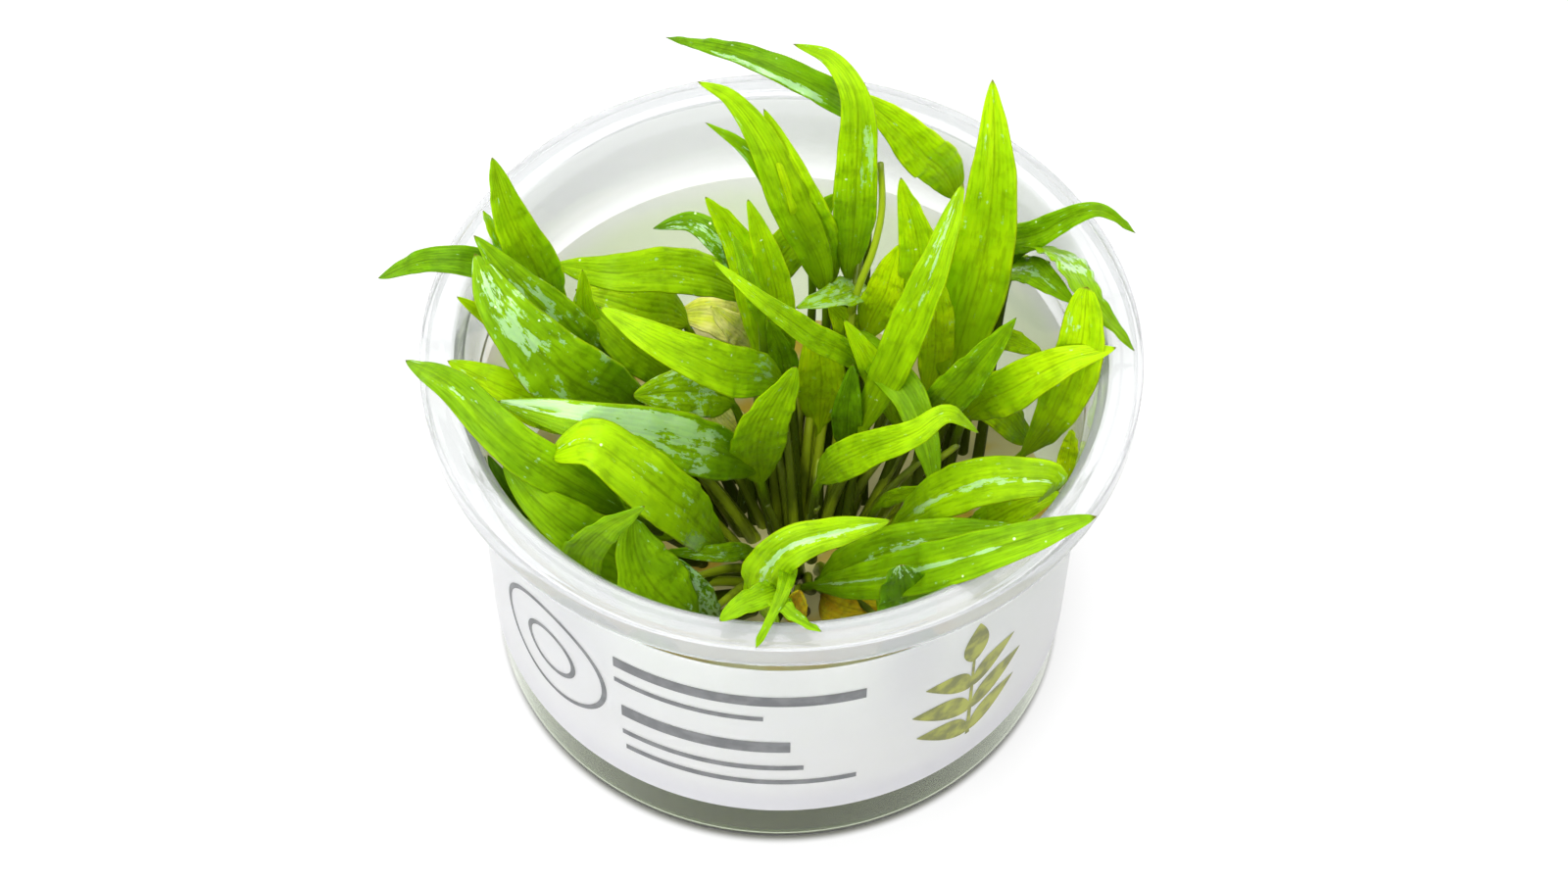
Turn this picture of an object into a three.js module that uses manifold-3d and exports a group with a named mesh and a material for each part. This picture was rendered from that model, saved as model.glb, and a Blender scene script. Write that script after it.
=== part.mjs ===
// A cup of tissue culture Cryptocoryne wendtii: a clear round cup with a wide flange, a paper label
// round its wall, a layer of clear nutrient gel, and a dense clump of leaves that stands in the gel
// and leans out over the rim. Millimetres, +Z up. The origin is the centre of the cup's base.
import * as THREE from 'three';
import * as BufferGeometryUtils from 'three/addons/utils/BufferGeometryUtils.js';
import Module from 'manifold-3d';

const wasm = await Module();
wasm.setup();

// Cup: a thin-walled, slightly tapered body under a collar and a flange with a down-turned lip
const cupHeight = 67;
const flangeRadius = 52.5;
const flangeInnerRadius = 47.8;
const lipDepth = 4;
const wall = 0.8;
const collarTopRadius = 47;
const collarDrop = 2.4;
const collarFoot = 56;
const bodyTopRadius = 45.5;
const bodyFootRadius = 44.5;
const footFillet = 2.5;
const filletSteps = [0, 0.33, 0.67, 1];

// Label: a thin sleeve round the body
const labelBottom = 10.5;
const labelTop = 51;
const labelGap = 0.3;
const labelThickness = 0.4;

// Gel: the nutrient layer that the clump stands in
const gelDepth = 16;
const fitGap = 0.3;
const turnSegments = 60;

// Leaves: every leaf is a thin stalk that widens into a pointed, lightly folded blade
const stalkRootRadius = 0.95;
const stalkTopRadius = 0.6;
const bladeThickness = 0.9;
const widestPlace = 0.42;
const bladeRoundness = 1.3;
const stalkStations = [0, 0.4, 0.75];
const bladeStations = [0, 0.06, 0.15, 0.26, 0.38, 0.5, 0.62, 0.74, 0.85, 0.94];
const middleStation = 5;
const foldedFrom = 0.5;
const samplesPerSpan = 40;
const leafClearance = 0.35;
const leafGreen = 0x76b400;
const paleGreen = 0xb9c65a;
const amber = 0xa8761c;

// The leaves, each placed by hand. Root is where the stalk stands on the gel. Face is the way that
// the middle of the blade's upper side looks. Fold is how far each half is raised, in degrees. The
// points run from the foot of the blade, over its back, to the tip. A blade that is widest at another
// place than the rest has its own widest, as a share of its length. One with a fuller or more slender
// outline has its own roundness, which is higher the more slender the blade is.
const leaves = [
  { name: 'leaf_left_1', root: [-14, 6], width: 5, face: [0, -4, 9], fold: 14,
    points: [[-33, 10, 58], [-42.5, 7.5, 75], [-50.5, 7, 77], [-59, 9, 70]] },
  { name: 'leaf_left_2', root: [-12, 9], width: 7.4, face: [3, -7, 4], fold: 12,
    points: [[-32.5, 14, 50], [-36, 9.5, 72.5], [-39, 7, 88.5], [-40.5, 7, 100]] },
  { name: 'leaf_left_3', root: [-14, 12], width: 3.4, face: [3, -7, 4], fold: 10,
    points: [[-34.5, 19, 50], [-40, 13.5, 69.5], [-43, 11, 83.5]] },
  { name: 'leaf_left_4', root: [-10, 6], width: 8, face: [2, -5, 8], fold: 14,
    points: [[-25, 9, 44], [-31, 3, 65], [-38, 3, 77], [-44, 6, 84]] },
  { name: 'leaf_left_5', root: [-9, 3], width: 11.5, face: [2, -6, 7], fold: 12,
    points: [[-21, 2, 46], [-31, -6, 67], [-39.5, -3.5, 79], [-44, 5.5, 80.5]] },
  { name: 'leaf_left_6', root: [-17, 9], width: 4.5, face: [0, -5, 8], fold: 10,
    points: [[-33, 11.5, 41.5], [-40, 7.5, 59.5], [-47.5, 7, 68.5]] },
  { name: 'leaf_left_7', root: [-13, -2], width: 6.8, face: [1, -5, 8], fold: 14,
    points: [[-23, -18.5, 51], [-37.5, -21.5, 71.5], [-46, -14.5, 75], [-54, -5.5, 69.5]] },
  { name: 'leaf_left_8', root: [-13, 2], width: 7.6, face: [0, -5, 8], fold: 10,
    points: [[-28, -0.5, 46.5], [-38, -7.5, 64.5], [-48, -5.5, 69.5]] },
  { name: 'leaf_left_9', root: [-1, 2], width: 8.8, face: [0, -5, 8], fold: 8,
    points: [[-4, -1.5, 37.5], [-14, -12, 59], [-26, -16, 69], [-40.5, -13, 70]] },
  { name: 'leaf_left_10', root: [-3, -4], width: 9.5, widest: 0.6, face: [0, -4, 9], fold: 10,
    points: [[-8, -10.5, 30], [-14.5, -22, 57.5], [-21.5, -22.5, 68], [-26.5, -21.5, 72],
      [-32.5, -20.5, 67.5]] },
  { name: 'leaf_left_11', root: [-5, -7], width: 9.5, face: [0, -4, 9], fold: 14,
    points: [[-16.5, -19.5, 35], [-25.5, -26, 52], [-33.5, -26, 62.5], [-39.5, -20, 64.5]] },
  { name: 'leaf_left_12', root: [-6, -10], width: 6.5, face: [1, -7, 6], fold: 12,
    points: [[-26.5, -26.5, 39], [-28.5, -29.5, 54], [-24.5, -32.5, 66.5], [-18.5, -34.5, 75.5]] },
  { name: 'leaf_left_13', root: [-4, -10], width: 11, widest: 0.5, face: [2, -4, 8], fold: 16,
    points: [[-12, -30, 40], [-18, -31, 50], [-20.5, -29, 56], [-21, -26, 60]] },
  { name: 'leaf_left_14', root: [-4, 4], width: 8, face: [0, -5, 8], fold: 12,
    points: [[-7.5, 7.5, 42.5], [-14, 4, 50], [-22, 0.5, 53.5]] },
  { name: 'leaf_left_15', root: [-4, -13], width: 4.5, face: [1, -4, 8], fold: 10,
    points: [[-9, -26, 34], [-12, -27, 43], [-15, -26, 50]] },
  { name: 'leaf_left_16', root: [-7, 8], width: 7, face: [0, -5, 8], fold: 12,
    points: [[-16, 10, 44], [-23.5, 8, 57], [-30.5, 11.5, 63]] },
  { name: 'leaf_left_17', root: [-8, -3], width: 7, face: [0, -5, 8], fold: 10,
    points: [[-15.5, -11, 34], [-23.5, -13, 45], [-31, -12.5, 51], [-38, -8, 53]] },
  { name: 'leaf_back_1', root: [-3, 10], width: 7.2, face: [0, -5, 8], fold: 12,
    points: [[-6, 20.5, 51.5], [-16, 16, 64], [-25, 12.5, 67.5], [-34, 16.5, 64.5]] },
  { name: 'leaf_back_2', root: [-7, 12], width: 9, face: [0, -5, 8], fold: 10,
    points: [[-15, 23.5, 41], [-22, 19.5, 50], [-31.5, 21.5, 52]] },
  { name: 'leaf_back_3', root: [-3, 14], width: 8, face: [0, -4, 8], fold: 14, color: paleGreen,
    points: [[-5, 27, 32], [-10.5, 25, 41.5], [-16.5, 25.5, 41]] },
  { name: 'leaf_back_4', root: [-1, 8], width: 5, face: [-1, -5, 8], fold: 16,
    points: [[-6, 18.5, 57.5], [-9, 14, 73.5], [-13.5, 15.5, 76], [-19, 14.5, 75.5]] },
  { name: 'leaf_back_5', root: [0, 5], width: 5.6, face: [1, -8, 4], fold: 14,
    points: [[-2.5, 12, 46.5], [-5, 10.5, 71], [-8, 9.5, 83], [-11, 7, 92]] },
  { name: 'leaf_back_6', root: [3, 6], width: 5.2, face: [2, -8, 4], fold: 16,
    points: [[1, 13, 46], [-2, 8, 76], [-5, 5, 94]] },
  { name: 'leaf_back_7', root: [4, 10], width: 6.2, face: [1, -7, 5], fold: 12,
    points: [[6.5, 20.5, 53], [1, 19, 76], [-3.5, 21, 89], [-8, 23, 95], [-12.5, 24.5, 96.5]] },
  { name: 'leaf_back_8', root: [2, 13], width: 4.2, face: [1, -7, 5], fold: 12,
    points: [[4.5, 28, 47.5], [-0.5, 25, 71.5], [-6, 24, 83], [-11.5, 25.5, 86.5]] },
  { name: 'leaf_back_9', root: [-1, 17], width: 6.5, face: [-1, -7, 6], fold: 10,
    points: [[-3, 33, 36], [2, 32, 52], [8, 32, 63]] },
  { name: 'leaf_back_10', root: [7, 12], width: 6.6, face: [0, -8, 5], fold: 10,
    points: [[10, 24.5, 51.5], [10.5, 20.5, 80.5], [9.5, 21, 99.5], [6, 24.5, 102], [1, 26, 103]] },
  { name: 'leaf_back_11', root: [12, 13], width: 4.8, widest: 0.35, face: [0, -6, 8], fold: 12,
    points: [[12.5, 33, 70.5], [10, 27, 88], [3.5, 24.5, 96.5], [-5, 27, 99], [-17.5, 36.5, 92.5]] },
  { name: 'leaf_back_12', root: [22, 16], width: 7.4, face: [0, -7, 6], fold: 12,
    points: [[26, 33.5, 60.5], [20, 30, 76], [15, 30, 83], [10.5, 32, 86]] },
  { name: 'leaf_back_13', root: [6, 14], width: 6, face: [1, -7, 5], fold: 14,
    points: [[7.5, 25, 50], [3.5, 20, 74], [0.5, 20.5, 84], [-3, 23.5, 92]] },
  { name: 'leaf_middle_1', root: [3, 3], width: 7.6, face: [1, -5, 8], fold: 12,
    points: [[0, 5, 50], [-9, -5, 68], [-18, -6, 76], [-26, -2, 78]] },
  { name: 'leaf_middle_2', root: [10, 3], width: 4.2, face: [2, -6, 6], fold: 20,
    points: [[13, 8, 48], [3, -1, 72], [-4, -4, 84], [-10, -1, 88]] },
  { name: 'leaf_middle_3', root: [0, -1], width: 9, face: [2, -7, 3], fold: 12,
    points: [[-3, -1, 34], [-3, -6, 54], [2, -9, 74]] },
  { name: 'leaf_middle_4', root: [6, 5], width: 8, face: [0, -8, 4], fold: 12,
    points: [[6, 11, 32], [6, 9, 48], [5, 8, 62]] },
  { name: 'leaf_middle_5', root: [9, 8], width: 6, face: [0, -3, 9], fold: 8,
    points: [[14, 27, 44], [8, 17, 57], [2, 13, 59]] },
  { name: 'leaf_middle_6', root: [13, 8], width: 6.2, face: [-2, -7, 5], fold: 12,
    points: [[13, 19, 44], [15.5, 16, 60], [17, 14.5, 72.5]] },
  { name: 'leaf_middle_7', root: [17, 9], width: 6.6, face: [-1, -8, 4], fold: 14,
    points: [[19, 16.5, 45.5], [20, 13, 72], [16.5, 11, 92]] },
  { name: 'leaf_middle_8', root: [14, 4], width: 5, face: [1, -7, 5], fold: 14,
    points: [[18, 8, 36], [13, 4, 58], [9, 4, 68]] },
  { name: 'leaf_middle_9', root: [10, -1], width: 6.4, widest: 0.5, face: [-4, -7, 3], fold: 20,
    points: [[12, 2, 42], [16.5, 0, 64], [21.5, 0, 86], [25, 5, 98]] },
  { name: 'leaf_middle_10', root: [12, 10], width: 5.6, widest: 0.45, face: [1, -8, 5], fold: 12,
    points: [[10, 11.5, 54], [14.5, 4, 58], [19, -2, 57], [21.5, -7, 53], [23, -12, 47.5]] },
  { name: 'leaf_middle_11', root: [5, -3], width: 5.8, widest: 0.35, face: [0, -6, 8], fold: 14,
    points: [[6, -9, 46], [12, -18, 66], [19, -21, 75], [23, -20, 78], [28, -19, 72]] },
  { name: 'leaf_right_1', root: [21, 10], width: 9.4, widest: 0.36, roundness: 1.15, face: [-1, -8, 4],
    fold: 12,
    points: [[25.5, 13, 41.5], [29.5, 16, 68], [30, 16, 88], [29, 19, 104]] },
  { name: 'leaf_right_2', root: [26, 15], width: 4.6, widest: 0.3, face: [0, -5, 8], fold: 14,
    points: [[32, 25.5, 56.5], [38, 20, 69], [46, 17.5, 77.5], [51.5, 16, 74]] },
  { name: 'leaf_right_3', root: [31, 14], width: 5.8, face: [2, -4, 8], fold: 12,
    points: [[35.5, 24.5, 58], [41, 15.5, 69], [44.5, 2.5, 75.5], [51, -1.5, 68.5]] },
  { name: 'leaf_right_4', root: [29, 18], width: 5, face: [0, -4, 9], fold: 12,
    points: [[31.5, 26.5, 48], [37, 20, 60], [40.5, 13.5, 64], [43, 9, 66]] },
  { name: 'leaf_right_5', root: [28, 8], width: 7.6, widest: 0.62, face: [-2, -7, 4], fold: 12,
    points: [[36.5, 1.5, 38], [40.5, -2, 53.5], [43, -2.5, 71], [43, -1.5, 83.5]] },
  { name: 'leaf_right_6', root: [25, 6], width: 7.2, face: [0, -6, 8], fold: 12,
    points: [[28, 4.5, 44], [34, -3, 61.5], [41, -4, 69.5], [48, -3.5, 72]] },
  { name: 'leaf_right_7', root: [21, 3], width: 6.4, widest: 0.33, face: [-1, -7, 5], fold: 18,
    points: [[22, 1, 46], [27, -3, 64], [33, -6, 82]] },
  { name: 'leaf_front_1', root: [11, -5], width: 7.4, widest: 0.55, face: [0, -4, 9], fold: 12,
    points: [[16.5, -13.5, 39.5], [22.5, -19, 56], [30.5, -22, 65], [38.5, -23.5, 67], [37, -23, 61]] },
  { name: 'leaf_front_2', root: [8, -7], width: 8, face: [0, -4, 9], fold: 12,
    points: [[6.5, -19, 34.5], [16.5, -24.5, 50.5], [33.5, -27.5, 61.5]] },
  { name: 'leaf_front_3', root: [5, -9], width: 7.2, widest: 0.62, face: [0, -4, 9], fold: 14,
    points: [[4.5, -20, 34], [16.5, -33, 56.5], [29, -38.5, 71.5], [43.5, -36, 76.5]] },
  { name: 'leaf_front_4', root: [11, -9], width: 8.8, roundness: 0.75, face: [1, -7, 5], fold: 12,
    points: [[17, -33.5, 41.5], [18, -36.5, 56], [17, -37, 65.5]] },
  { name: 'leaf_front_5', root: [1, -10], width: 7, face: [0, -4, 9], fold: 16,
    points: [[-1, -34, 46], [-2.5, -37, 60], [2, -37, 70], [15.5, -34, 72]] },
  { name: 'leaf_front_6', root: [3, -6], width: 2.6, widest: 0.3, face: [0, -4, 9], fold: 12,
    points: [[1.5, -33.5, 60.5], [0.5, -44.5, 69], [-3, -53, 68.5]] },
  { name: 'leaf_front_7', root: [-2, -13], width: 4.2, widest: 0.5, face: [0, -3, 9], fold: 10,
    points: [[0, -38, 60], [-1.5, -43.5, 67.5], [-5.5, -47, 69.5], [-8, -49, 69]] },
  { name: 'leaf_front_8', root: [4, -13], width: 4, face: [0, -5, 8], fold: 10, color: amber,
    points: [[2, -30, 40], [3, -32, 51]] },
  { name: 'leaf_front_9', root: [8, -11], width: 7, face: [0, -4, 9], fold: 8, color: amber,
    points: [[7, -14, 22], [11, -22, 31], [18, -26, 36]] },
];

function manifoldOf(geometry) {
  const bare = geometry.clone();
  bare.deleteAttribute('normal');
  bare.deleteAttribute('uv');
  const merged = BufferGeometryUtils.mergeVertices(bare, 1e-4);
  const vertProperties = new Float32Array(merged.attributes.position.array);
  const triVerts = new Uint32Array(merged.index.array);
  return new wasm.Manifold(new wasm.Mesh({ numProp: 3, vertProperties, triVerts }));
}

function geometryOf(solid) {
  const mesh = solid.getMesh();
  const geometry = new THREE.BufferGeometry();
  geometry.setAttribute('position', new THREE.Float32BufferAttribute(mesh.vertProperties, 3));
  geometry.setIndex(new THREE.BufferAttribute(mesh.triVerts, 1));
  geometry.computeVertexNormals();
  return geometry;
}

function turned(outline) {
  const profile = outline.map(([radius, height]) => new THREE.Vector2(radius, height));
  const geometry = new THREE.LatheGeometry(profile, turnSegments);
  geometry.rotateX(Math.PI / 2);
  return geometry;
}

// The outer radius of the cup's body at a height
function bodyRadius(height) {
  return THREE.MathUtils.mapLinear(height, footFillet, collarFoot, bodyFootRadius, bodyTopRadius);
}

function filletPoints(radius, size) {
  return filletSteps.map((step) => {
    const angle = step * Math.PI / 2;
    return [radius - size + size * Math.sin(angle), size - size * Math.cos(angle)];
  });
}

function cupGeometry() {
  const collarTop = cupHeight - collarDrop;
  const outside = [
    ...filletPoints(bodyFootRadius, footFillet),
    [bodyTopRadius, collarFoot],
    [collarTopRadius, collarTop - wall],
    [flangeInnerRadius, cupHeight - wall],
    [flangeRadius - wall, cupHeight - wall],
    [flangeRadius - wall, cupHeight - lipDepth],
  ];
  const inside = [
    [flangeRadius, cupHeight - lipDepth],
    [flangeRadius, cupHeight],
    [flangeInnerRadius, cupHeight],
    [collarTopRadius - wall, collarTop],
    [bodyTopRadius - wall, collarFoot],
    ...filletPoints(bodyFootRadius - wall, footFillet - wall)
      .map(([radius, height]) => [radius, height + wall])
      .reverse(),
  ];
  return turned([[0, 0], ...outside, ...inside, [0, wall]]);
}

function labelGeometry() {
  const inner = (height) => bodyRadius(height) + labelGap;
  const outer = (height) => inner(height) + labelThickness;
  return turned([
    [inner(labelBottom), labelBottom],
    [outer(labelBottom), labelBottom],
    [outer(labelTop), labelTop],
    [inner(labelTop), labelTop],
    [inner(labelBottom), labelBottom],
  ]);
}

function gelGeometry() {
  const floor = wall + fitGap;
  const side = (height) => bodyRadius(height) - wall - fitGap;
  return turned([
    [0, floor],
    [side(floor) - footFillet, floor],
    [side(floor + footFillet), floor + footFillet],
    [side(gelDepth), gelDepth],
    [0, gelDepth],
  ]);
}

// The blade's width from its foot at 0 to its tip at 1, as a share of the full width
function bladeShape(leaf, place) {
  const { widest = widestPlace, roundness = bladeRoundness } = leaf;
  const rise = Math.pow(place / widest, roundness * widest);
  const fall = Math.pow((1 - place) / (1 - widest), roundness * (1 - widest));
  return rise * fall;
}

// Sample the leaf's spine, and note how far along it each sample is
function spineOf(leaf) {
  const root = new THREE.Vector3(leaf.root[0], leaf.root[1], gelDepth + fitGap);
  const knots = [root, ...leaf.points.map((point) => new THREE.Vector3(...point))];
  const curve = new THREE.CatmullRomCurve3(knots, false, 'centripetal');
  const points = curve.getPoints(samplesPerSpan * (knots.length - 1));
  const lengths = [0];
  for (let i = 1; i < points.length; i += 1) {
    lengths.push(lengths[i - 1] + points[i].distanceTo(points[i - 1]));
  }
  return { points, lengths, bladeStart: lengths[samplesPerSpan], total: lengths[lengths.length - 1] };
}

function sampleAt(spine, length) {
  let i = 1;
  while (i < spine.lengths.length - 1 && spine.lengths[i] < length) {
    i += 1;
  }
  const before = spine.lengths[i - 1];
  const share = (length - before) / (spine.lengths[i] - before);
  const point = spine.points[i - 1].clone().lerp(spine.points[i], share);
  const tangent = spine.points[i].clone().sub(spine.points[i - 1]).normalize();
  return { point, tangent };
}

// Carry the upper side's direction from the blade's middle to every station without twisting it
function carryNormals(stations, face) {
  const carry = (normal, tangent) => normal.clone().projectOnPlane(tangent).normalize();
  const middle = stalkStations.length + middleStation;
  const normals = new Array(stations.length);
  normals[middle] = carry(new THREE.Vector3(...face), stations[middle].tangent);
  for (let i = middle + 1; i < stations.length; i += 1) {
    normals[i] = carry(normals[i - 1], stations[i].tangent);
  }
  for (let i = middle - 1; i >= 0; i -= 1) {
    normals[i] = carry(normals[i + 1], stations[i].tangent);
  }
  return normals;
}

function leafStations(leaf, spine) {
  const stalk = stalkStations.map((place) => {
    const radius = THREE.MathUtils.lerp(stalkRootRadius, stalkTopRadius, place);
    return { length: place * spine.bladeStart, half: radius, thick: radius, fold: 0 };
  });
  const blade = bladeStations.map((place) => ({
    length: THREE.MathUtils.lerp(spine.bladeStart, spine.total, place),
    half: Math.max(stalkTopRadius, bladeShape(leaf, place) * leaf.width / 2),
    thick: THREE.MathUtils.lerp(stalkTopRadius, bladeThickness / 2, place),
    fold: leaf.fold * Math.min(1, place / foldedFrom),
  }));
  const stations = [...stalk, ...blade].map((station) => {
    return { ...station, ...sampleAt(spine, station.length) };
  });
  stations[0].tangent = new THREE.Vector3(0, 0, 1);
  return stations;
}

// The faces of a chain of four-cornered rings, closed by a flat root and a pointed tip
function leafFaces(ringCount) {
  const tip = ringCount * 4;
  const faces = [0, 1, 2, 0, 2, 3];
  for (let ring = 0; ring < ringCount; ring += 1) {
    for (let corner = 0; corner < 4; corner += 1) {
      const a = ring * 4 + corner;
      const b = ring * 4 + (corner + 1) % 4;
      if (ring === ringCount - 1) {
        faces.push(a, tip, b);
      } else {
        faces.push(a, a + 4, b, b, a + 4, b + 4);
      }
    }
  }
  return faces;
}

// A leaf's solid. Each ring has its corners at the two edges, the top and the underside. Skin is an
// extra thickness all round.
function leafGeometry(leaf, skin) {
  const spine = spineOf(leaf);
  const stations = leafStations(leaf, spine);
  const normals = carryNormals(stations, leaf.face);
  const positions = [];
  stations.forEach((station, i) => {
    const side = new THREE.Vector3().crossVectors(station.tangent, normals[i]);
    const angle = THREE.MathUtils.degToRad(station.fold);
    const across = (station.half + skin) * Math.cos(angle);
    const raised = station.half * Math.sin(angle);
    const thick = station.thick + skin;
    [[across, raised], [0, thick], [-across, raised], [0, -thick]].forEach(([sideways, up]) => {
      const corner = station.point.clone().addScaledVector(side, sideways).addScaledVector(normals[i], up);
      positions.push(corner.x, corner.y, corner.z);
    });
  });
  const last = sampleAt(spine, spine.total);
  const tip = last.point.addScaledVector(last.tangent, skin);
  positions.push(tip.x, tip.y, tip.z);
  const geometry = new THREE.BufferGeometry();
  geometry.setAttribute('position', new THREE.Float32BufferAttribute(positions, 3));
  geometry.setIndex(leafFaces(stations.length));
  geometry.computeVertexNormals();
  return geometry;
}

function largestPiece(solid) {
  return solid.decompose().reduce((best, piece) => (piece.volume() > best.volume() ? piece : best));
}

// Cut every leaf back where a leaf before it already is, so that crossing leaves keep a small gap
function clearedLeaves() {
  const skins = leaves.map((leaf) => manifoldOf(leafGeometry(leaf, leafClearance)));
  return leaves.map((leaf, i) => {
    let solid = manifoldOf(leafGeometry(leaf, 0));
    for (let j = 0; j < i; j += 1) {
      if (!solid.intersect(skins[j]).isEmpty()) {
        solid = largestPiece(solid.subtract(skins[j]));
      }
    }
    return geometryOf(solid);
  });
}

function part(name, geometry, color, roughness) {
  const material = new THREE.MeshStandardMaterial({ color, roughness, metalness: 0 });
  const mesh = new THREE.Mesh(geometry, material);
  mesh.name = name;
  return mesh;
}

const plantCup = new THREE.Group();
plantCup.add(part('cup', cupGeometry(), 0xe8edec, 0.15));
plantCup.add(part('label', labelGeometry(), 0xf4f4f4, 0.5));
plantCup.add(part('gel', gelGeometry(), 0x8f9a55, 0.1));
clearedLeaves().forEach((geometry, i) => {
  plantCup.add(part(leaves[i].name, geometry, leaves[i].color ?? leafGreen, 0.4));
});

export default plantCup;
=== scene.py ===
"""The looks of a cup of tissue culture Cryptocoryne wendtii: a clear cup with a paper label, nutrient
gel with roots in it, and a dense clump of leaves that leans out over the rim. Shapes are worked out
in millimetres, with +Z up and the origin at the centre of the cup's base, and built in metres."""

import math
import random

import bmesh
import bpy
import numpy as np
from mathutils import Matrix, Vector, noise


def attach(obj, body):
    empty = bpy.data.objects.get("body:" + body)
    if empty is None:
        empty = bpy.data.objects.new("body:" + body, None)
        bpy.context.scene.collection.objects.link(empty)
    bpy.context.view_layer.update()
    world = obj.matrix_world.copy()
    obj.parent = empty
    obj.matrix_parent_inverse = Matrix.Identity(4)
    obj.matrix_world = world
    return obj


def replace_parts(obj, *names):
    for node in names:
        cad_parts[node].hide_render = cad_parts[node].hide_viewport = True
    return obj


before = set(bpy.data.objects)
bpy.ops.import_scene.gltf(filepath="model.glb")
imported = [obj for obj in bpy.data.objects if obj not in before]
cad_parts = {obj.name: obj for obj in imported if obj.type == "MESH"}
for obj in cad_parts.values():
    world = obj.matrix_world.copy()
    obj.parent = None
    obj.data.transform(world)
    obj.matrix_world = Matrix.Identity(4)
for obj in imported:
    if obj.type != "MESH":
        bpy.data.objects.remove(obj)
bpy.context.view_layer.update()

METRES = 0.001

# Cup
CUP_HEIGHT = 67
FLANGE_RADIUS = 52.5
FLANGE_INNER_RADIUS = 47.8
LIP_DEPTH = 4
WALL = 0.8
COLLAR_TOP_RADIUS = 47
COLLAR_DROP = 2.4
COLLAR_FOOT = 56
BODY_TOP_RADIUS = 45.5
BODY_FOOT_RADIUS = 44.5
FOOT_FILLET = 2.5
BASE_RAISE = 0.5
BASE_MIDDLE_RADIUS = 36
BASE_RING_RADIUS = 38
GROOVE_OUTER_RADIUS = 51.4
GROOVE_INNER_RADIUS = 49
GROOVE_SLOPE = 0.5
GROOVE_DEPTH = 0.12
CUP_EDGE_REACH = 0.35
CORNER_STEPS = 4
FILLET_STEPS = 8
TURN_SEGMENTS = 512

# Label
LABEL_BOTTOM = 10.5
LABEL_TOP = 51
LABEL_GAP = 0.15
LABEL_THICKNESS = 0.2
PRINT_LIFT = 0.03
PRINT_COLUMNS = 5

# Gel
GEL_DEPTH = 16
GEL_GAP = 0.15
GEL_FOOT = 1.4
GEL_WAVE = 0.5

# Leaves
STALK_START = 16.3
STALK_IN_GEL = 5
STALK_ROOT_RADIUS = 0.95
STALK_TOP_RADIUS = 0.6
BLADE_SKIN = 0.2
RIB_WIDTH = 0.55
SAMPLES_PER_SPAN = 60
STALK_STATIONS = 16
BLADE_STATIONS = 64
ACROSS = 17
WETNESS = "wetness"
FIRST_YOUNG_SEED = 100


def plan(root, width, face, fold, finish, points, widest=0.42, taper=1.3, wave=0.32):
    """The measures of one leaf. Root is where the stalk stands on the gel, and the points run from the
    foot of the blade, over its back, to the tip. Face is the way that the middle of the blade's upper side
    looks. Fold is how far each half is raised, in degrees. Finish names the material. Widest is where along
    the blade it is widest, taper is how much it narrows from there to both ends, and wave is how far the
    edges rise and fall."""
    return {
        "root": root, "width": width, "face": face, "fold": fold, "finish": finish, "points": points,
        "widest": widest, "taper": taper, "wave": wave,
    }


def numbered(name, leaves):
    """The leaves by their names, which end in their numbers from 1."""
    return {f"{name}_{number}": leaf for number, leaf in enumerate(leaves, 1)}


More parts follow.
